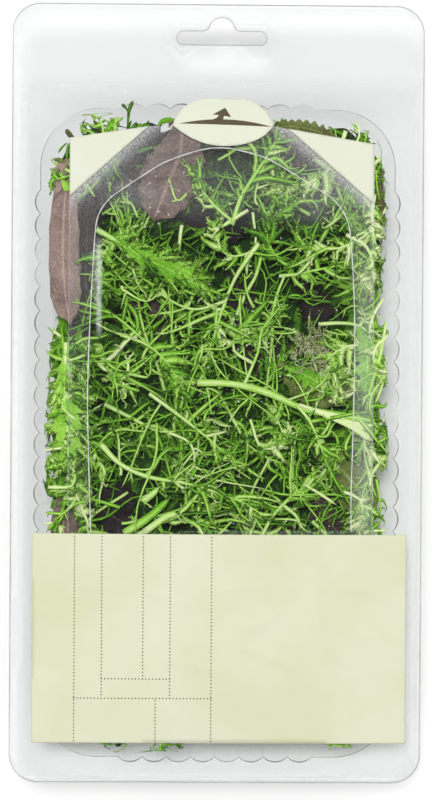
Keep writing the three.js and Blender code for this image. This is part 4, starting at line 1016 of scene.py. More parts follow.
def place_of(tree):
    return add_node(tree, "ShaderNodeTexCoord").outputs["Object"]


def noise(tree, scale, detail=2.0, rough=0.5):
    """Noise over the object, with scale in features to the metre."""
    inputs = {"Vector": place_of(tree), "Scale": scale, "Detail": detail, "Roughness": rough}
    return add_node(tree, "ShaderNodeTexNoise", inputs).outputs["Fac"]


def attribute(tree, name):
    return add_node(tree, "ShaderNodeAttribute", attribute_name=name).outputs["Fac"]


def maths(tree, operation, a, b=0.0, clamp=False):
    return add_node(tree, "ShaderNodeMath", {0: a, 1: b}, operation=operation, use_clamp=clamp).outputs[0]


def ramp(tree, factor, stops):
    """A colour that changes along a factor, through stops of place and colour."""
    node = add_node(tree, "ShaderNodeValToRGB", {0: factor})
    elements = node.color_ramp.elements
    while len(elements) < len(stops):
        elements.new(0.5)
    for element, (place, colour) in zip(elements, stops):
        element.position = place
        element.color = (*colour, 1)
    return node.outputs["Color"]


def mixed(tree, factor, a, b):
    node = add_node(tree, "ShaderNodeMix", {0: factor, 6: a, 7: b}, data_type="RGBA")
    return node.outputs[2]


def bumped(tree, height, strength, distance):
    inputs = {"Height": height, "Strength": strength, "Distance": distance}
    return add_node(tree, "ShaderNodeBump", inputs).outputs["Normal"]


def mapped(tree, value, low, high, first=0.0, last=1.0):
    """A value carried over from the range low to high to the range first to last, and kept within it."""
    return add_node(tree, "ShaderNodeMapRange", {0: value, 1: low, 2: high, 3: first, 4: last}).outputs[0]


def around_zero(tree, value, spread):
    """A value from 0 to 1 moved to lie round zero, over a spread."""
    return maths(tree, "MULTIPLY", maths(tree, "SUBTRACT", value, 0.5), spread)


def see_through(tree, tint):
    return add_node(tree, "ShaderNodeBsdfTransparent", {"Color": (*tint, 1)}).outputs[0]


def mixed_shaders(tree, share, a, b):
    return add_node(tree, "ShaderNodeMixShader", {0: share, 1: a, 2: b}).outputs[0]


def solid_surface(tree, colour, roughness, specular=0.5, **more):
    inputs = {"Base Color": colour, "Roughness": roughness, "Specular IOR Level": specular, **more}
    return add_node(tree, "ShaderNodeBsdfPrincipled", inputs).outputs[0]


# Colours of leaves by their tone
LEAF_TONES = [
    (0.0, (0.006, 0.014, 0.005)),
    (0.22, (0.020, 0.058, 0.010)),
    (0.5, (0.16, 0.42, 0.022)),
    (0.7, (0.38, 0.68, 0.09)),
    (1.0, (0.76, 0.86, 0.44)),
]
PURPLE_TONES = [
    (0.15, (0.008, 0.006, 0.008)),
    (0.45, (0.040, 0.028, 0.030)),
    (0.65, (0.15, 0.10, 0.09)),
    (0.85, (0.31, 0.22, 0.19)),
    (1.0, (0.44, 0.34, 0.28)),
]
OLIVE_TONES = [
    (0.2, (0.022, 0.026, 0.012)),
    (0.45, (0.095, 0.08, 0.032)),
    (0.68, (0.19, 0.26, 0.060)),
    (1.0, (0.60, 0.62, 0.36)),
]
VEINS = 8.0  # side veins along a blade


def vein_mask(tree):
    """Thin wandering lines from the rib out to the margin, and the rib itself."""
    aside = maths(tree, "ABSOLUTE", attribute(tree, "across"))
    climb = maths(tree, "SUBTRACT", maths(tree, "MULTIPLY", attribute(tree, "along"), VEINS), aside)
    bent = maths(tree, "ADD", climb, maths(tree, "MULTIPLY", noise(tree, 110, 3), 2.6))
    ridge = maths(tree, "ABSOLUTE", maths(tree, "SUBTRACT", maths(tree, "FRACT", bent), 0.5))
    side = mapped(tree, ridge, 0.0, 0.07, 0.6, 0.0)
    middle = mapped(tree, aside, 0.03, 0.1, 1.0, 0.0)
    return maths(tree, "MAXIMUM", side, middle)


def crinkles(tree):
    """Raised cells of a crinkled blade: 0 in the furrows between them, 1 on top."""
    inputs = {"Vector": place_of(tree), "Scale": 800, "Randomness": 1.0}
    cells = add_node(tree, "ShaderNodeTexVoronoi", inputs, feature="DISTANCE_TO_EDGE").outputs["Distance"]
    return mapped(tree, cells, 0.0, 0.3)


def blade_look(tree, tone):
    """Tone and relief of a whole blade: pale veins and rib, and raised cells with painted shade in the
    furrows between them.
    """
    cells, veins = crinkles(tree), vein_mask(tree)
    # Painted shade: the tone is deeper in the furrows between the raised cells and paler on their tops
    lines = maths(tree, "ADD", around_zero(tree, cells, 0.08), maths(tree, "MULTIPLY", veins, 0.17))
    height = maths(tree, "ADD", cells, maths(tree, "MULTIPLY", veins, -0.6))
    return maths(tree, "ADD", tone, lines, clamp=True), bumped(tree, height, 0.4, 0.0005)


def strand_look(tree, tone):
    """Tone and relief of strands: paler along their middle, for a pale midrib and a painted highlight, with
    a fine grain.
    """
    aside = maths(tree, "ABSOLUTE", attribute(tree, "across"))
    # Painted highlight: each strand is paler along its middle, which also stands for its pale midrib
    midrib_and_highlight = maths(tree, "POWER", maths(tree, "SUBTRACT", 1.0, aside, clamp=True), 3.0)
    tone = maths(tree, "ADD", tone, maths(tree, "MULTIPLY", midrib_and_highlight, 0.22), clamp=True)
    return tone, bumped(tree, noise(tree, 1400, 3), 0.35, 0.0003)


def leaf_material(name, tones, look, roughness):
    material, tree = new_material(name)
    patch = around_zero(tree, noise(tree, 160, 3), 0.42)
    fine = around_zero(tree, noise(tree, 900, 2), 0.2)
    tone = maths(tree, "ADD", attribute(tree, "tone"), maths(tree, "ADD", patch, fine), clamp=True)
    tone, normal = look(tree, tone)
    return faced(material, solid_surface(tree, ramp(tree, tone, tones), roughness, 0.3, Normal=normal))


def clear_material(name, tint, roughness, haze, gloss=STRAIGHT_GLOSS, speckled=False, grazing=0.9):
    """Clear plastic: light passes straight through, with gloss by the angle and a little white haze.

    haze and gloss are each one number, or the name of numbers that the mesh keeps for each point.
    """
    material, tree = new_material(name)
    normal = bumped(tree, noise(tree, 45, 2), 0.2, 0.001)
    upwards = add_node(tree, "ShaderNodeCombineXYZ", {"X": 0.0, "Y": 0.0, "Z": 1.0}).outputs[0]
    white = {"Color": (0.93, 0.93, 0.93, 1), "Normal": upwards}
    milk = add_node(tree, "ShaderNodeBsdfDiffuse", white).outputs[0]
    amount, straight = (attribute(tree, part) if isinstance(part, str) else part for part in (haze, gloss))
    if speckled:
        speckle = mapped(tree, noise(tree, 1800, 2), 0.32, 0.7, 0.3, 1.7)
        amount = maths(tree, "MULTIPLY", amount, speckle, clamp=True)
    in_shade = add_node(tree, "ShaderNodeLightPath").outputs["Is Shadow Ray"]
    let_on = maths(tree, "MULTIPLY", in_shade, HAZE_LETS_ON)
    amount = maths(tree, "MULTIPLY", amount, maths(tree, "SUBTRACT", 1.0, let_on))
    body = mixed_shaders(tree, amount, see_through(tree, tint), milk)
    mirror = {"Color": (1, 1, 1, 1), "Roughness": roughness, "Normal": normal}
    shine = add_node(tree, "ShaderNodeBsdfGlossy", mirror).outputs[0]
    facing = add_node(tree, "ShaderNodeLayerWeight", {"Blend": 0.5, "Normal": normal}).outputs["Facing"]
    slanted = maths(tree, "MULTIPLY", maths(tree, "POWER", facing, 5.0), grazing)
    share = maths(tree, "ADD", slanted, straight, clamp=True)
    return faced(material, mixed_shaders(tree, share, body, shine))


def cream_material(name, light, deep):
    """Satin label stock, cream with soft deeper patches."""
    material, tree = new_material(name)
    patch = mapped(tree, noise(tree, 22, 3, 0.6), 0.35, 0.68)
    colour = mixed(tree, patch, (*light, 1), (*deep, 1))
    grain = mapped(tree, noise(tree, 2600, 2), 0.0, 1.0, 0.96, 1.03)
    shade = add_node(tree, "ShaderNodeHueSaturation", {"Value": grain, "Color": colour}).outputs[0]
    height = maths(tree, "ADD", noise(tree, 60, 2), maths(tree, "MULTIPLY", noise(tree, 1800, 2), 0.06))
    return faced(material, solid_surface(tree, shade, 0.5, 0.35, Normal=bumped(tree, height, 0.3, 0.0008)))


def shade_line_material(name, grey, least, most):
    """Painted shade where clear plastic is seen along its edge: grey, and fainter in places."""
    material, tree = new_material(name)
    amount = mapped(tree, noise(tree, 30, 2), 0.38, 0.62, least, most)
    solid = solid_surface(tree, (grey, grey, grey, 1), 0.2)
    return faced(material, mixed_shaders(tree, amount, see_through(tree, (0.95, 0.96, 0.96)), solid))


def ink_material():
    material, tree = new_material("brown_ink")
    colour = mixed(tree, noise(tree, 500, 2), (0.075, 0.055, 0.03, 1), (0.11, 0.085, 0.05, 1))
    return faced(material, solid_surface(tree, colour, 0.55))


def floor_material():
    material, tree = new_material("studio_floor")
    surface = add_node(tree, "ShaderNodeBsdfDiffuse", {"Color": (0.91, 0.91, 0.91, 1)}).outputs[0]
    return faced(material, surface)


green = leaf_material("leaf_green", LEAF_TONES, strand_look, 0.42)
green_blade = leaf_material("leaf_green_blade", LEAF_TONES, blade_look, 0.42)
purple = leaf_material("leaf_purple", PURPLE_TONES, blade_look, 0.45)
olive = leaf_material("leaf_olive", OLIVE_TONES, blade_look, 0.45)
tray_clear = clear_material("tray_clear", (0.99, 0.993, 0.993), 0.06, "haze", "gloss", grazing=0.05)
film_clear = clear_material("film_clear", (0.993, 0.996, 0.996), 0.08, 0.001)
window_clear = clear_material("window_clear", (0.99, 0.993, 0.99), 0.1, "haze", speckled=True)
edge_clear = clear_material("cut_edge", (0.95, 0.96, 0.95), 0.2, 0.42)
# Painted shade: grey lines along the edges of the clear plastic
edge_shade_line = shade_line_material("edge_shade_line", 0.5, 0.3, 0.6)
rim_shade_line = shade_line_material("rim_shade_line", 0.22, 0.0, 0.75)
# Painted glint: the drops' white haze stands for their highlights
drop_glint_clear = clear_material("drop_glint_clear", (0.97, 0.98, 0.98), 0.05, 0.4)
cream = cream_material("label_cream", (0.66, 0.675, 0.52), (0.61, 0.63, 0.42))
pale_cream = cream_material("corner_cream", (0.67, 0.69, 0.57), (0.65, 0.67, 0.53))
ink = ink_material()

# Tray, film and label

def tray_haze(points):
    """The tray is milky on its flange, less so beside the cavity, and clear on its walls and floor."""
    x, y, height = points.T
    past_side = np.abs(x) - CAVITY["width"] / 2
    past_end = np.abs(y - CAVITY["centre_y"]) - CAVITY["length"] / 2
    beside = np.maximum(past_side, past_end)
    on_flange = np.interp(height, [TRAY_HEIGHT - 1.5, TRAY_HEIGHT - 0.6], [0, 1])
    flange = np.interp(beside, [2, 9], [TRAY_HAZE["beside"], TRAY_HAZE["flange"]])
    return lerp(TRAY_HAZE["wall"], flange, on_flange)


def tray_gloss(points):
    """The fluted walls mirror more of the studio than the flange and the floor do."""
    steps = [3, 7, TRAY_HEIGHT - 3, TRAY_HEIGHT - 1]
    return np.interp(points[:, 2], steps, [STRAIGHT_GLOSS, WALL_GLOSS, WALL_GLOSS, STRAIGHT_GLOSS])


tray_points, tray_faces = tray_mesh()
make_piece("tray_sheet", tray_points, tray_faces, tray_clear, SLOT_OF["tray"], ["tray"],
           {"haze": tray_haze(tray_points), "gloss": tray_gloss(tray_points)})


def lay_sheet(name, mesh, material, node, values=None):
    """A sheet of film or label in place of its solid."""
    return make_piece(name, *mesh, material, SLOT_OF[node], [node], values, but_rims(*mesh))


film_mesh = film_sheet(rounded_loop(PACK), [slot_loop()], MESH_STEP["film"], FILM_UNDER, FILM)
lay_sheet("film_sheet", film_mesh, film_clear, "lid_film")


def seal_distance(x, y):
    """How far a point lies from the line through the slanted edge of the nearer seal."""
    found = np.full(np.shape(x), 1e9)
    for (ax, ay), (bx, by) in ((SEAL_LEFT[1], SEAL_LEFT[2]), (SEAL_RIGHT[2], SEAL_RIGHT[1])):
        length = math.hypot(bx - ax, by - ay)
        found = np.minimum(found, np.abs((y - ay) * (bx - ax) - (x - ax) * (by - ay)) / length)
    return found


# Painted glare: whitish streaks on the window, each with its middle, half size and strength
GLARES = [
    ((-42.3, 42), (0.7, 11), 0.4),
    ((-42.0, 27), (0.6, 6), 0.22),
    ((0, 74), (32, 13), 0.035),
    ((35, 69), (7, 8), 0.05),
    ((-30, 70), (9, 5), 0.05),
    ((52, -8), (2.6, 52), 0.05),
]


def window_haze(x, y):
    """The window is clear inside the arch and a little milky outside it, with painted sheen beside the seals
    and painted glare in streaks.
    """
    arch = contains(arch_line(), np.column_stack([x, y]))
    left = np.interp(y, [0, 45], [WINDOW_HAZE["left"], WINDOW_HAZE["beside"]])
    beside = np.where(x < 0, left, WINDOW_HAZE["beside"])
    # Painted sheen: the window is whitened along the slanted edges of the seals
    seal_sheen = WINDOW_HAZE["seal"] * np.exp(-(seal_distance(x, y) / 3.0) ** 1.5)
    total = np.where(arch, WINDOW_HAZE["arch"], beside) + seal_sheen
    for (px, py), (across, along), amount in GLARES:
        total = total + amount * np.exp(-((x - px) / across) ** 2 - ((y - py) / along) ** 4)
    return total


window_mesh = film_sheet(window_loop(), [], MESH_STEP["window"])
lay_sheet("window_sheet", window_mesh, window_clear, "label_window",
          {"haze": window_haze(*window_mesh[0][:, :2].T)})
lay_sheet("panel_sheet", film_sheet(panel_loop(), [], MESH_STEP["panel"]), cream, "label_panel")
for side, corners in (("left", SEAL_LEFT), ("right", SEAL_RIGHT)):
    lay_sheet(f"corner_{side}", film_sheet(corners, [], MESH_STEP["panel"]), pale_cream, f"seal_{side}")


def tab_lift(x, y):
    """The lower edge of the tab's bowl stands a little off the film."""
    return 0.5 * np.clip((TAB["y"] - y) / (TAB["y"] - TAB["bottom"]), 0, 1) ** 1.5


tab_mesh = film_sheet(tab_loop(), [], MESH_STEP["tab"], lift=tab_lift)
lay_sheet("tab_sheet", tab_mesh, pale_cream, "pull_tab")


def cut_edge():
    """The raised edge of the reseal cut, along the arch."""
    x, y = arch_line().T
    centre = np.column_stack([x, y, label_top(x, y)])
    across = unit(np.cross(UP, unit(np.gradient(centre, axis=0))))
    edge = Foliage()
    edge.strand(centre, across, 0.22 + 0.05 * np.sin(np.arange(len(x)) * 0.9), 0.14, 0.0, 6)
    return edge


def label_edge(x, top, width):
    """The edge of the clear window along one of its sides, from the panel up to a seal."""
    y = np.linspace(PANEL["top"], top, 60)
    line = np.column_stack([np.full(60, x), y, label_top(x, y)])
    edge = Foliage()
    edge.strand(line, np.array([1.0, 0.0, 0.0]), width, 0.06, 0.0, 4)
    return edge


cut_edge().piece("cut_edge", edge_clear, SLOT_OF["label_window"], held=False)


def bead(loop, half_width):
    """A thin closed line on the flange, along a loop. half_width is one number or one for each point."""
    line = np.array(loop)
    half_width = np.broadcast_to(half_width, len(line))[:, None, None]
    centre = np.column_stack([line, np.full(len(line), TRAY_HEIGHT - CAD_SHEET / 2 + SHEET / 2)])
    tangent = unit(np.roll(centre, -1, axis=0) - np.roll(centre, 1, axis=0))
    across = np.cross(UP, tangent)
    sides = 6
    angles = np.arange(sides) * 2 * np.pi / sides
    ring = centre[:, None] + half_width * np.cos(angles)[None, :, None] * across[:, None]
    ring = ring + LINE_THICK * np.sin(angles)[:, None] * UP
    index = np.arange(len(line) * sides).reshape(len(line), sides)
    ahead = np.roll(index, -1, axis=0)
    a, b, c, d = index, np.roll(index, -1, axis=1), np.roll(ahead, -1, axis=1), ahead
    faces = np.stack([np.stack([a, c, b], -1), np.stack([a, d, c], -1)]).reshape(-1, 3)
    return ring.reshape(-1, 3), faces


# Painted shade: the rim of the cavity, the pack's edge and the slot's edge show as thin grey lines
rim, plain = (np.array(rounded_loop(CAVITY, LINE_INSET, depth, 24)) for depth in (FLUTE["depth"], 0.0))
bulge = np.linalg.norm(rim - plain, axis=1)
LINES = {
    "rim": (rim, 0.13 + 0.12 * (bulge / FLUTE["depth"]) ** 2, rim_shade_line),
    "edge": (divided(rounded_loop(PACK, LINE_INSET), 8), 0.18, edge_shade_line),
    "slot": (slot_loop(), 0.16, edge_shade_line),
}
for name, (loop, half_width, material) in LINES.items():
    make_piece(f"{name}_bead", *bead(loop, half_width), material, SLOT_OF["tray"])

# Sides of the clear window: where each lies, where it ends and the half width of its edge
LABEL_EDGES = {
    "left": (LABEL_LEFT, SEAL_LEFT[1][1], 0.06),
    "right": (LABEL_RIGHT, SEAL_RIGHT[2][1], 0.09),
}
for side, spec in LABEL_EDGES.items():
    label_edge(*spec).piece(f"label_edge_{side}", edge_clear, SLOT_OF["label_window"], held=False)

# Print: dotted rules on the panel, and a dark arc with an arrow on the tab

RULES = [
    ((-50.0, -50.6), (-50.0, -123.0)),
    ((-40.3, -50.6), (-40.3, -107.8)),
    ((-25.7, -50.6), (-25.7, -100.9)),
    ((-16.1, -50.6), (-16.1, -107.8)),
    ((-1.5, -50.6), (-1.5, -123.0)),
    ((-21.2, -108.6), (-21.2, -123.0)),
    ((-50.0, -107.8), (-1.5, -107.8)),
    ((-40.3, -100.9), (-16.1, -100.9)),
]
DOT_PITCH, DOT_RADIUS, PRINT = 1.2, 0.27, 0.03


def dotted_rules():
    """Every dot is a thin six-sided disc on the panel."""
    ring = np.array(arc_points(0, 0, DOT_RADIUS, 0, 300, 6))
    disc = np.array([(0, 1, 2), (0, 2, 3), (0, 3, 4), (0, 4, 5)])
    points, faces, count = [], [], 0
    for (ax, ay), (bx, by) in RULES:
        dots = round(math.hypot(bx - ax, by - ay) / DOT_PITCH)
        for i in range(dots + 1):
            flat = ring + (lerp(ax, bx, i / dots), lerp(ay, by, i / dots))
            base = label_top(*flat.T)
            dot, dot_faces = slab(flat, disc, base - PRINT, base + PRINT)
            points.append(dot)
            faces.append(dot_faces + count)
            count += len(dot)
    return np.vstack(points), np.vstack(faces)


make_piece("dotted_rules", *dotted_rules(), ink, SLOT_OF["label_panel"], smooth=False)

ARROW = [(-2.6, 96.9), (1.5, 96.9), (1.9, 98.4), (4.4, 98.0), (2.3, 101.3), (-2.2, 98.8), (0.2, 98.7),
         (-0.8, 97.6)]
ARC = [
    *quadratic((-14.2, 95.5), (2.0, 95.4), (18.8, 94.6), 16),
    *quadratic((18.8, 94.6), (3.0, 99.2), (-14.2, 95.5), 16),
]


for name, loop in (("arc", ARC), ("arrow", ARROW)):
    mesh = film_sheet(loop, [], MESH_STEP[name], LABEL_UNDER + LABEL - PRINT, 2 * PRINT, tab_lift)
    make_piece(f"tab_{name}", *mesh, ink, SLOT_OF["pull_tab"], smooth=False)

# Leaves in their places

for node, tone, layer, parts in HAND_LAID:
    leaf = Foliage()
    for part in parts:
        deeper = 0.12 if tone == PALE and "pairs" in part else 0
        frond(leaf, layer, tone=tone - deeper, **part)
    leaf.piece(f"{node}_fine", green, SLOT_OF[node], [node])

BLADE_MATERIALS = {"leaf_right_veined": olive, "olive_right": olive}
for node, tone, layer, spec in [*BLADES, *lower_leaves()]:
    leaf = Foliage()
    lobed_blade(leaf, layer, tone=tone, **spec)
    usual = purple if SLOT_OF[node] == "leaf_purple" else green_blade
    leaf.piece(f"{node}_fine", BLADE_MATERIALS.get(node, usual), SLOT_OF[node], [node])


# Places where dark lower leaves show, and where fronds are deeper in tone as painted shade: middle and half
# size
OPENINGS = [
    ((-8, 62), (14, 10)),
    ((16, 14), (11, 10)),
    ((36, -40), (9, 7)),
    ((-55, 50), (14, 32)),
    ((-26, 76), (9, 12)),
    ((28, 70), (8, 12)),
    ((-24, 30), (7, 5)),
    ((-40, -34), (7, 6)),
    ((34, 34), (6, 6)),
]


# Places that no loose leaf lies over
CLEARINGS = [
    ((-15, 87), (13, 12)),
    ((-55, 54), (7, 30)),
]


def is_within(places, x, y):
    return any(((x - cx) / rx) ** 2 + ((y - cy) / ry) ** 2 < 1 for (cx, cy), (rx, ry) in places)


def crosses_clearing(start, end):
    """Whether a straight line runs over a place that loose leaves keep off."""
    return any(is_within(CLEARINGS, *lerp(start, end, share)) for share in (0, 0.33, 0.67, 1))


def loose_frond(leaf, x, y, heading, reach, layer, tone, lobes=(6, 12), fine=True):
    """One frond through a point, with its own bow, style and tone."""
    bow = rng.uniform(-1.4, 1.4)
    rib = []
    for i in range(4):
        turn = heading + bow * (i / 3 - 0.5) * 2
        step = (i / 3 - 0.5) * reach
        rib.append((x + step * math.cos(turn), y + step * math.sin(turn)))
    style = rng.choice(["toothed", "thready", "leafy", "broad"], p=[0.3, 0.15, 0.3, 0.25])
    frond(leaf, layer, rib, tone + rng.uniform(-0.2, 0.16), width=(rng.uniform(1.3, 2.4), 0.9),
          pairs=max(4, round(reach / 6)), start=rng.uniform(0.12, 0.45),
          length=rng.uniform(*lobes), angle=rng.uniform(38, 70), teeth=rng.integers(0, 2),
          seed=rng.integers(1000), style=style, fine=fine)


def loose_fronds(columns, rows, low, high, tone, fine=True):
    """Fronds on a jittered grid over the cavity, between a low and a high layer."""
    leaf = Foliage()
    for column in range(columns):
        for row in range(rows):
            x = ((column + rng.uniform(0.1, 0.9)) / columns - 0.5) * (CAVITY["width"] - 8)
            y = ((row + rng.uniform(0.1, 0.9)) / rows - 0.5) * (CAVITY["length"] - 12) + CAVITY["centre_y"]
            reach = rng.uniform(22, 46)
            heading = rng.uniform(0, 2 * math.pi)
            half = 0.5 * reach * np.array([math.cos(heading), math.sin(heading)])
            if crosses_clearing((x, y) - half, (x, y) + half):
                continue
            tone_here = tone
            # Painted shade: fronds in the openings are shorter and deeper in tone
            if is_within(OPENINGS, x, y):
                reach, tone_here = 0.5 * reach, tone - 0.15
            loose_frond(leaf, x, y, heading, reach, rng.uniform(low, high), tone_here, fine=fine)
    return leaf


def wall_fronds(rows):
    """Fronds along both side walls of the tray."""
    leaf = Foliage()
    for side in (-1, 1):
        for row in range(rows):
            x = side * rng.uniform(48, 56)
            y = ((row + rng.uniform(0.2, 0.8)) / rows - 0.54) * 200 + CAVITY["centre_y"]
            heading = math.pi / 2 * rng.choice([-1, 1]) + rng.uniform(-0.5, 0.5)
            if is_within(OPENINGS, x, y):
                continue
            reach, layer = rng.uniform(14, 26), rng.uniform(12.3, 14.3)
            loose_frond(leaf, x, y, heading, reach, layer, GREEN + 0.16, lobes=(4, 8))
    return leaf


# Small leaves that close the gaps between the fronds: rib, half width and layer
PURPLE_PATCHES = [
    ([(-26, 90), (-9, 93), (8, 92), (26, 90)], 6, 10.5),
    ([(-35, 80), (-31, 86), (-27, 91), (-20, 96)], 5, 11.5),
    ([(-44, 84), (-37, 80), (-31, 76), (-24, 73)], 6, 10.5),
    ([(-46, 76), (-46.5, 60), (-47, 42), (-46, 24)], 6.5, 11),
    ([(28, 86), (36, 81), (43, 75), (50, 66)], 6, 10.5),
    ([(-48, -36), (-40, -42), (-33, -46), (-25, -48)], 6, 10.5),
    ([(2, -40), (10, -45), (20, -47), (31, -46)], 6, 10.5),
    ([(-15, 66), (-6, 62), (3, 60), (10, 56)], 7, 10.5),
    ([(6, 18), (14, 14), (21, 12), (30, 14)], 7, 10.5),
    ([(-34, 30), (-26, 31), (-20, 28), (-14, 26)], 6, 10),
    ([(28, 42), (33, 36), (36, 30), (37, 22)], 6, 10.5),
    ([(30, -34), (36, -38), (40, -44), (44, -50)], 6, 11.5),
    ([(-44, -26), (-40, -34), (-34, -38), (-28, -40)], 6, 10.5),
    ([(4, 46), (8, 36), (9, 26), (14, 18)], 7, 11),
    ([(-26, 79), (-23, 84), (-21, 88), (-18, 93)], 6, 10),
    ([(-44, 83), (-42.5, 77), (-41.5, 70), (-42, 62)], 5.5, 10),
    ([(20, 90), (24, 85), (28, 81), (33, 78)], 5.5, 10),
    ([(-57, 28), (-53, 24), (-50, 20), (-48, 14)], 5, 9),
    ([(50, 8), (53.5, 2), (54, -4), (53, -12)], 4, 9),
]
WALL_PATCHES = [
    ([(54, 78), (55.5, 71), (55, 63), (53, 56)], 4.5, 9.5),
    ([(53, 60), (56, 51), (56.5, 42), (54, 34)], 4.5, 10.5),
    ([(57, 34), (55, 26), (54, 14), (56, 4)], 4.5, 10),
    ([(54, 8), (56, -2), (57, -12), (54, -22)], 4.5, 9.5),
    ([(56, -20), (54, -30), (55, -40), (54, -50)], 4.5, 10),
    ([(-54, 30), (-56, 20), (-57, 10), (-54, -2)], 4.5, 10),
    ([(-56, 4), (-54, -6), (-56, -18), (-55.5, -30)], 4.5, 10.5),
    ([(-54, -24), (-56, -34), (-55, -44), (-54, -54)], 4.5, 10),
    ([(50, 24), (53, 17), (53.5, 10), (52.5, 0)], 4.5, 13.7),
    ([(49, 70), (50, 55), (50, 42), (49, 30)], 6, 9.5),
    ([(49, 36), (50, 22), (50, 8), (49, -4)], 6, 10),
    ([(49, 2), (50, -14), (50, -26), (49, -38)], 6, 9.5),
    ([(49, -30), (50, -40), (49, -50), (47, -58)], 6, 9),
    ([(-49, 24), (-50, 8), (-50, -6), (-49, -20)], 6, 9.5),
    ([(-49, -14), (-50, -26), (-49, -40), (-47, -54)], 6, 9),
    ([(24, 9.5), (30, 7.5), (35, 5), (41, 1.5)], 4, 12.8),
]


def patch_leaves(patches, tone, **margin):
    """Whole small leaves, each with its own shade."""
    leaf = Foliage()
    for i, (rib, half_width, layer) in enumerate(patches):
        shade = tone + 0.24 * (chance(i, 7) - 0.5)
        blade(leaf, layer, rib, shade, half_width, stalk=0.06, stations=10, seed=i + 3, columns=9, **margin)
    return leaf


def painted_shade_bed():
    """Dark leaves in rows below the loose ones, so that no light comes up between them; their near-black
    tone is painted shade in the gaps of the heap.
    """
    leaf = Foliage()
    for i in range(36):
        column, row = i % 4, i // 4
        x, y = 27 * (column - 1.5), 24 * (row - 4) + CAVITY["centre_y"]
        turn = 2 * math.pi * chance(i, 3)
        rib = [(x + s * math.cos(turn), y + s * math.sin(turn)) for s in (-17, -6, 6, 17)]
        layer, shade = 7 + 0.9 * ((column + row) % 3), 0.17 + 0.1 * chance(i, 5)
        blade(leaf, layer, rib, shade, 13, stalk=0.04, stations=8, finer=3, seed=i, columns=7)
    return leaf


def loose_threads(count, layer, tone, width, kept_off):
    """Bare threads and small forks over a layer of the heap."""
    place = np.column_stack([rng.uniform(-54, 54, count), rng.uniform(-52, 88, count)])
    heading = rng.uniform(0, 2 * math.pi, count)
    length = rng.uniform(7, 22, count)
    reach = length[:, None] * np.column_stack([np.cos(heading), np.sin(heading)])
    away = [not is_within(kept_off, *start) and not crosses_clearing(start, start + along)
            for start, along in zip(place, reach)]
    place, heading, length = place[away], heading[away], length[away]
    many = len(place)
    root = np.column_stack([place, layer_height(layer, *place.T)])
    forward = np.column_stack([np.cos(heading), np.sin(heading), rng.uniform(-0.15, 0.15, many)])
    bend = rng.normal(0, 0.7, (many, 3)) * (1, 1, 0.3)
    wave = rng.normal(0, 0.12, (many, 3)) * (1, 1, 0.3)
    normal = UP + rng.normal(0, 0.3, (many, 3))
    widths = width * rng.uniform(0.7, 1.3, many)
    tones = tone + rng.normal(0, 0.1, many)
    thread = Strands(root, forward, bend, wave, normal, length, widths, tones)
    leaf = Foliage()
    thread.grow(leaf, 9, 5, tip_width=0.6, flat=0.6)
    fork = thread.branches(2, 0.3, 0.95, 0.4, 1.0, least=2.0, curl=0.6)
    fork.grow(leaf, 6, 4, tip_width=0.5, flat=0.6)
    fork.branches(1, 0.3, 0.8, 0.5, 0.8, least=1.0).grow(leaf, 3, 3, tip_width=0.45)
    return leaf


def curls(middle, spread, count):
    """A patch of short crinkled margins that curl up from a leaf below."""
    x, y = (rng.uniform(-1, 1, (count, 2)) * spread + middle).T
    heading = rng.normal(1.9, 0.6, count)
    root = np.column_stack([x, y, layer_height(12.6, x, y)])
    forward = np.column_stack([np.cos(heading), np.sin(heading), rng.uniform(0, 0.5, count)])
    bend = rng.normal(0, 0.4, (count, 3))
    wave = rng.normal(0, 0.3, (count, 3))
    normal = UP + rng.normal(0, 0.4, (count, 3))
    length = rng.uniform(2.5, 6, count)
    width = rng.uniform(0.8, 1.3, count)
    tones = rng.normal(0.94, 0.12, count)
    crinkle = Strands(root, forward, bend, wave, normal, length, width, tones)
    leaf = Foliage()
    crinkle.grow(leaf, 7, 4, tip_width=0.6, flat=0.5)
    crinkle.branches(2, 0.2, 0.95, 0.4, 0.7, least=0.8).grow(leaf, 3, 3, tip_width=0.4)
    return leaf


curls((33.5, 13.5), (6, 6), 90).piece("loose_curls", olive, "leaf_purple")
painted_shade_bed().piece("loose_bed", green_blade, "leaf_deep_green")
# The small purple leaves are near black: their own deep purple and painted shade beneath the fronds
small_purple = patch_leaves(PURPLE_PATCHES, 0.37, tooth=0.2, slant=0.3)
small_purple.piece("loose_purple", purple, "leaf_purple")
small_green = patch_leaves(WALL_PATCHES, 0.47, tooth=0.34, slant=0.6, frill=1)
small_green.piece("loose_green", green_blade, "leaf_green")
# Painted shade: the deeper the fronds and threads lie in the heap, the deeper their tone
loose_fronds(4, 7, 12.2, 14.0, GREEN + 0.06).piece("loose_upper", green, "leaf_green")
loose_fronds(4, 8, 10.4, 12.2, GREEN - 0.08, fine=False).piece("loose_middle", green, "leaf_green")
loose_fronds(4, 8, 8.4, 10.6, GREEN - 0.24, fine=False).piece("loose_lower", green, "leaf_green")
pale_threads = loose_threads(100, 13.4, PALE - 0.03, 1.1, OPENINGS + CLEARINGS)
pale_threads.piece("loose_threads", green, "leaf_green")
loose_threads(190, 11.8, 0.38, 0.95, CLEARINGS).piece("deep_threads", green, "leaf_deep_green")
wall_fronds(18).piece("loose_walls", green, "leaf_green")


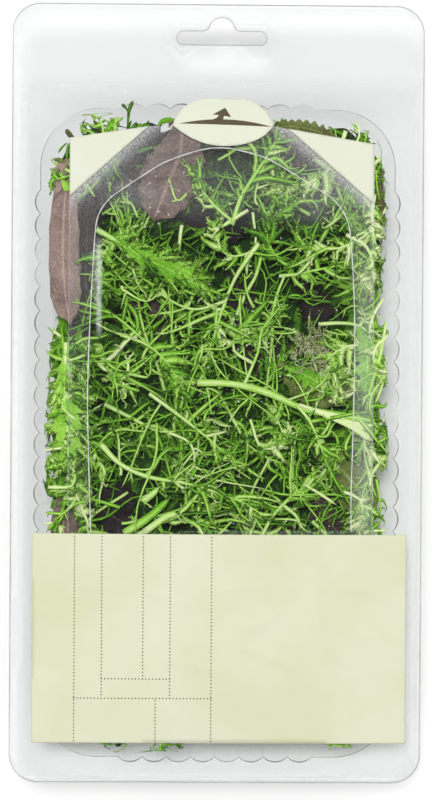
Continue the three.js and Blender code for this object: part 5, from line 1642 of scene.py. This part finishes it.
# Bare pieces of stalk on top of the heap: rib, width at its two ends and tone
STUBS = [
    ([(10.6, 65.2), (5.5, 62), (0.4, 58.5)], (1.8, 2.0), 0.72),
    ([(0.4, 58.5), (-2.2, 58.2), (-4, 59.2)], (1.4, 1.0), 0.66),
    ([(0.4, 58.5), (-1.6, 56.4), (-2.2, 54.4)], (1.3, 0.9), 0.66),
    ([(-32.6, -49.6), (-24, -44), (-16.3, -36.9)], (4.0, 3.4), 0.38),
    ([(-25.9, -49.6), (-17.7, -43.6), (-13.5, -42.6)], (3.4, 3.8), 0.6),
    ([(-26, -38), (-23, -36), (-20, -33)], (4.6, 2.4), 0.56),
    ([(31.6, -32), (37.4, -35.6), (43.4, -39.6)], (1.6, 1.3), 0.78),
    ([(60.5, 26), (57.5, 12), (54.5, 2), (53, -7)], (2.4, 1.7), 0.5),
    ([(61, 14), (59, 4), (56, -4)], (1.6, 1.2), 0.62),
]


def stubs():
    leaf = Foliage()
    for i, (rib, width, tone) in enumerate(STUBS):
        frond(leaf, 13.8, rib, tone, width=width, seed=i)
    return leaf


stubs().piece("loose_stubs", green, "leaf_pale")


# Small sprigs at the edges of the heap: rib, tone and length of lobes
SPRIGS = [
    ([(-36, 88), (-36.4, 91), (-36.8, 94), (-36.6, 97)], GREEN, 3.5),
    ([(-42, 90), (-44, 92), (-46, 93), (-48, 94)], GREEN, 3.5),
    ([(-34, 91), (-32.6, 93.4), (-30.5, 94.6), (-28, 95)], DEEP, 2.4),
    ([(-30, 92), (-28.5, 94.4), (-27, 95.2), (-25, 95.2)], DEEP, 2),
    ([(56, 80), (56.5, 74), (58, 68), (60.5, 62)], 0.3, 5),
    ([(-45, -122), (-41, -124), (-38, -125), (-34, -124.5)], DEEP, 4),
    ([(-22, -122), (-19, -124), (-16, -125), (-13, -124.5)], DEEP, 3.5),
    ([(33, -121), (38, -123.5), (43, -125), (48, -126)], GREEN, 4.5),
    ([(-50, -38), (-53, -42), (-56, -44), (-58, -48)], 0.45, 6),
    ([(57, -30), (58, -36), (58.5, -42), (58, -48)], 0.4, 6),
]

# Small whole tips at the upper edge of the heap: rib, half width and tone
PURPLE_TIPS = [
    ([(-17.5, 94.5), (-17, 96), (-15.8, 96.8), (-14.5, 96.6)], 0.9, 0.6),
    ([(-52.5, 83), (-55, 80), (-56.8, 76), (-57.5, 70)], 2.8, 0.84),
]
OLIVE_TIPS = [
    ([(-50.5, 89.3), (-52, 90.8), (-53.5, 92.6), (-54.9, 94.4)], 0.95, 0.42),
    ([(-38.5, 90.5), (-40.5, 92.8), (-42.4, 94.8), (-44.5, 96.7)], 0.95, 0.45),
    ([(-52.4, 80.6), (-54.6, 82), (-56.6, 82.6), (-58.8, 83)], 0.9, 0.6),
]
FRINGES = [
    ([(15, 93.6), (24, 95.2), (33, 94.2), (44, 89.8)], 3.0, 0.5),
    ([(58, 80), (57.6, 72), (58.4, 66), (59, 60)], 1.6, 0.46),
]
GREEN_TIPS = [
    ([(-53.5, 80), (-53.7, 84), (-53.2, 87.5), (-51.5, 89.8)], 0.55, 0.42),
    ([(-53.8, 88.6), (-55, 87.6), (-56, 86.4), (-56.8, 85)], 0.45, 0.45),
    ([(-51.8, 89.6), (-49, 90.4), (-46, 91), (-43, 91)], 0.5, 0.45),
    ([(-40.4, 91.5), (-38.6, 94.2), (-37, 95.8), (-34.8, 95.4)], 1.7, 0.42),
    ([(-21.5, 95), (-19.6, 96.8), (-17.5, 97.6), (-15, 96.6)], 1.4, 0.4),
    ([(52, 88.5), (52.4, 91), (53, 93.4), (54.2, 94.8)], 0.42, 0.6),
    ([(42, 90.5), (41.8, 92), (41.6, 93.2), (41.4, 94.3)], 0.3, 0.66),
    ([(-55.5, 76.5), (-54.5, 74.5), (-53.6, 73), (-52.4, 72)], 1.6, 0.66),
]


def tips(specs, stations=10, tooth=0.12):
    leaf = Foliage()
    for i, (rib, half_width, tone) in enumerate(specs):
        blade(leaf, 13.6, rib, tone, half_width, stalk=0.02, stalk_width=0.6, stations=stations, finer=3,
              tooth=tooth, seed=i, columns=7, wave=0.3)
    return leaf


def edge_sprigs():
    leaf = Foliage()
    for rib, tone, length in SPRIGS:
        frond(leaf, 13.6, rib, tone, width=(1.4, 0.8), pairs=2, start=0.3, length=length, angle=48,
              seed=rng.integers(1000), style="sprig", teeth=0)
    return leaf


edge_sprigs().piece("edge_sprigs", green, "leaf_green")
tips(PURPLE_TIPS).piece("edge_tips_purple", purple, "leaf_purple")
tips(OLIVE_TIPS).piece("edge_tips_olive", olive, "leaf_purple")
tips(GREEN_TIPS).piece("edge_tips_green", green_blade, "leaf_green")
tips(FRINGES, 22, 0.3).piece("edge_fringe", olive, "leaf_purple")


# The stray sprig: ribs and widths of its two forks, and the shape of both from root to tip
STRAY_FORKS = [
    ([(-32, 93.5), (-32, 97), (-31.6, 100.5), (-30.2, 103.8)], 1.1),
    ([(-31.8, 98.4), (-32.3, 100.2), (-33.4, 101.6), (-34.3, 102.4)], 0.9),
]
STRAY_SHAPE = np.array([0.8, 0.75, 0.75, 0.8, 0.9, 1.1, 1.3, 1.3, 0.6])


def stray_sprig():
    """A forked tip that lies over the rim, between the flange and the film."""
    leaf = Foliage()
    count = len(STRAY_SHAPE)
    for rib, width in STRAY_FORKS:
        flat, along = rib_curve(rib, np.linspace(0, 1, count))
        centre = np.column_stack([flat, np.full(count, TRAY_HEIGHT + 0.08)])
        aside = np.column_stack([-along[:, 1], along[:, 0], np.zeros(count)])
        leaf.strand(centre, aside, width / 2 * STRAY_SHAPE, 0.14, np.linspace(0.27, 0.2, count), 6)
    return leaf


stray_sprig().piece("edge_stray", green, "leaf_green", held=False)

# Wet patches under the film: middle and spread
WET = [(5, 12, 14), (18, 14, 16), (-28, 72, 12), (-5, -60, 20), (30, 50, 22)]


def droplets(count):
    """Small drops of water that hang under the film, whitened as a painted glint."""
    sides, found, faces = 8, [], []
    angles = np.arange(sides) * 2 * np.pi / sides
    for i in range(count):
        px, py, spread = WET[i % len(WET)]
        x = np.clip(px + rng.normal(0, spread), -58, 58)
        y = np.clip(py + rng.normal(0, spread), -120, 94)
        radius = 0.08 + 0.3 * rng.uniform() ** 2
        top = film_height(x, y)
        rings = [np.column_stack([x + radius * share * np.cos(angles), y + radius * share * np.sin(angles),
                                  np.full(sides, top - radius * drop)])
                 for share, drop in ((0.9, 0.0), (1.0, 0.25), (0.65, 0.6))]
        found.append(np.vstack([*rings, [[x, y, top - radius * 0.75]]]))
        faces.append(strand_faces(3, sides) + i * (3 * sides + 1))
    return np.vstack(found), np.vstack(faces)[:, ::-1]


make_piece("water_drops", *droplets(420), drop_glint_clear, SLOT_OF["lid_film"])

# Stage

FLOOR_HALF = 4000.0


def make_floor():
    mesh = bpy.data.meshes.new("floor")
    half = FLOOR_HALF * MM
    corners = [(-half, -half, 0), (half, -half, 0), (half, half, 0), (-half, half, 0)]
    mesh.from_pydata(corners, [], [(0, 1, 2, 3)])
    mesh.materials.append(floor_material())
    floor = bpy.data.objects.new("floor", mesh)
    bpy.context.scene.collection.objects.link(floor)


def make_light(name, place, size, power, mirrored=True):
    """A soft box with its size in metres, turned to the pack. Gloss shows it only if it is mirrored."""
    light = bpy.data.lights.new(name, "AREA")
    light.shape = "RECTANGLE"
    light.size, light.size_y = size
    light.energy = power
    holder = bpy.data.objects.new(name, light)
    holder.location = place
    holder.rotation_euler = (-Vector(place)).to_track_quat("-Z", "Y").to_euler()
    holder.visible_camera = False
    holder.visible_glossy = mirrored
    bpy.context.scene.collection.objects.link(holder)


def make_world():
    """Soft grey all round, darker straight above, where the film mirrors it to the camera."""
    world = bpy.data.worlds.new("studio")
    world.use_nodes = True
    tree = world.node_tree
    tree.nodes.clear()
    direction = add_node(tree, "ShaderNodeTexCoord").outputs["Generated"]
    height = add_node(tree, "ShaderNodeSeparateXYZ", {0: direction}).outputs["Z"]
    colour = ramp(tree, height, [
        (0.0, (0.8, 0.8, 0.8)),
        (0.35, (1.0, 1.0, 1.0)),
        (0.86, (1.0, 1.0, 1.0)),
        (0.94, (0.1, 0.1, 0.1)),
    ])
    background = add_node(tree, "ShaderNodeBackground", {"Color": colour, "Strength": 0.35})
    output = add_node(tree, "ShaderNodeOutputWorld")
    tree.links.new(background.outputs[0], output.inputs["Surface"])
    bpy.context.scene.world = world


make_floor()
make_world()
make_light("top", (-0.13, 0.3, 2.2), (0.34, 0.3), 37, mirrored=False)
make_light("back", (0.3, 1.9, 2.0), (1.2, 0.8), 11)
make_light("left", (-2.2, -0.3, 1.8), (1.0, 1.8), 8)
make_light("right", (2.2, -0.4, 1.8), (1.0, 1.8), 7)

# Camera, over the pack and a little towards its lower left

camera = bpy.data.cameras.new("camera")
camera.lens = 108.55
camera.sensor_width = 36.0
camera.clip_end = 20
holder = bpy.data.objects.new("camera", camera)
holder.location = (-0.0169, 0.00505, 0.9)
holder.rotation_euler = tuple(math.radians(angle) for angle in (-0.488, -1.122, 0.365))
bpy.context.scene.collection.objects.link(holder)
bpy.context.scene.camera = holder

bpy.context.scene.view_settings.view_transform = "Standard"
bpy.context.scene.cycles.transparent_max_bounces = 32
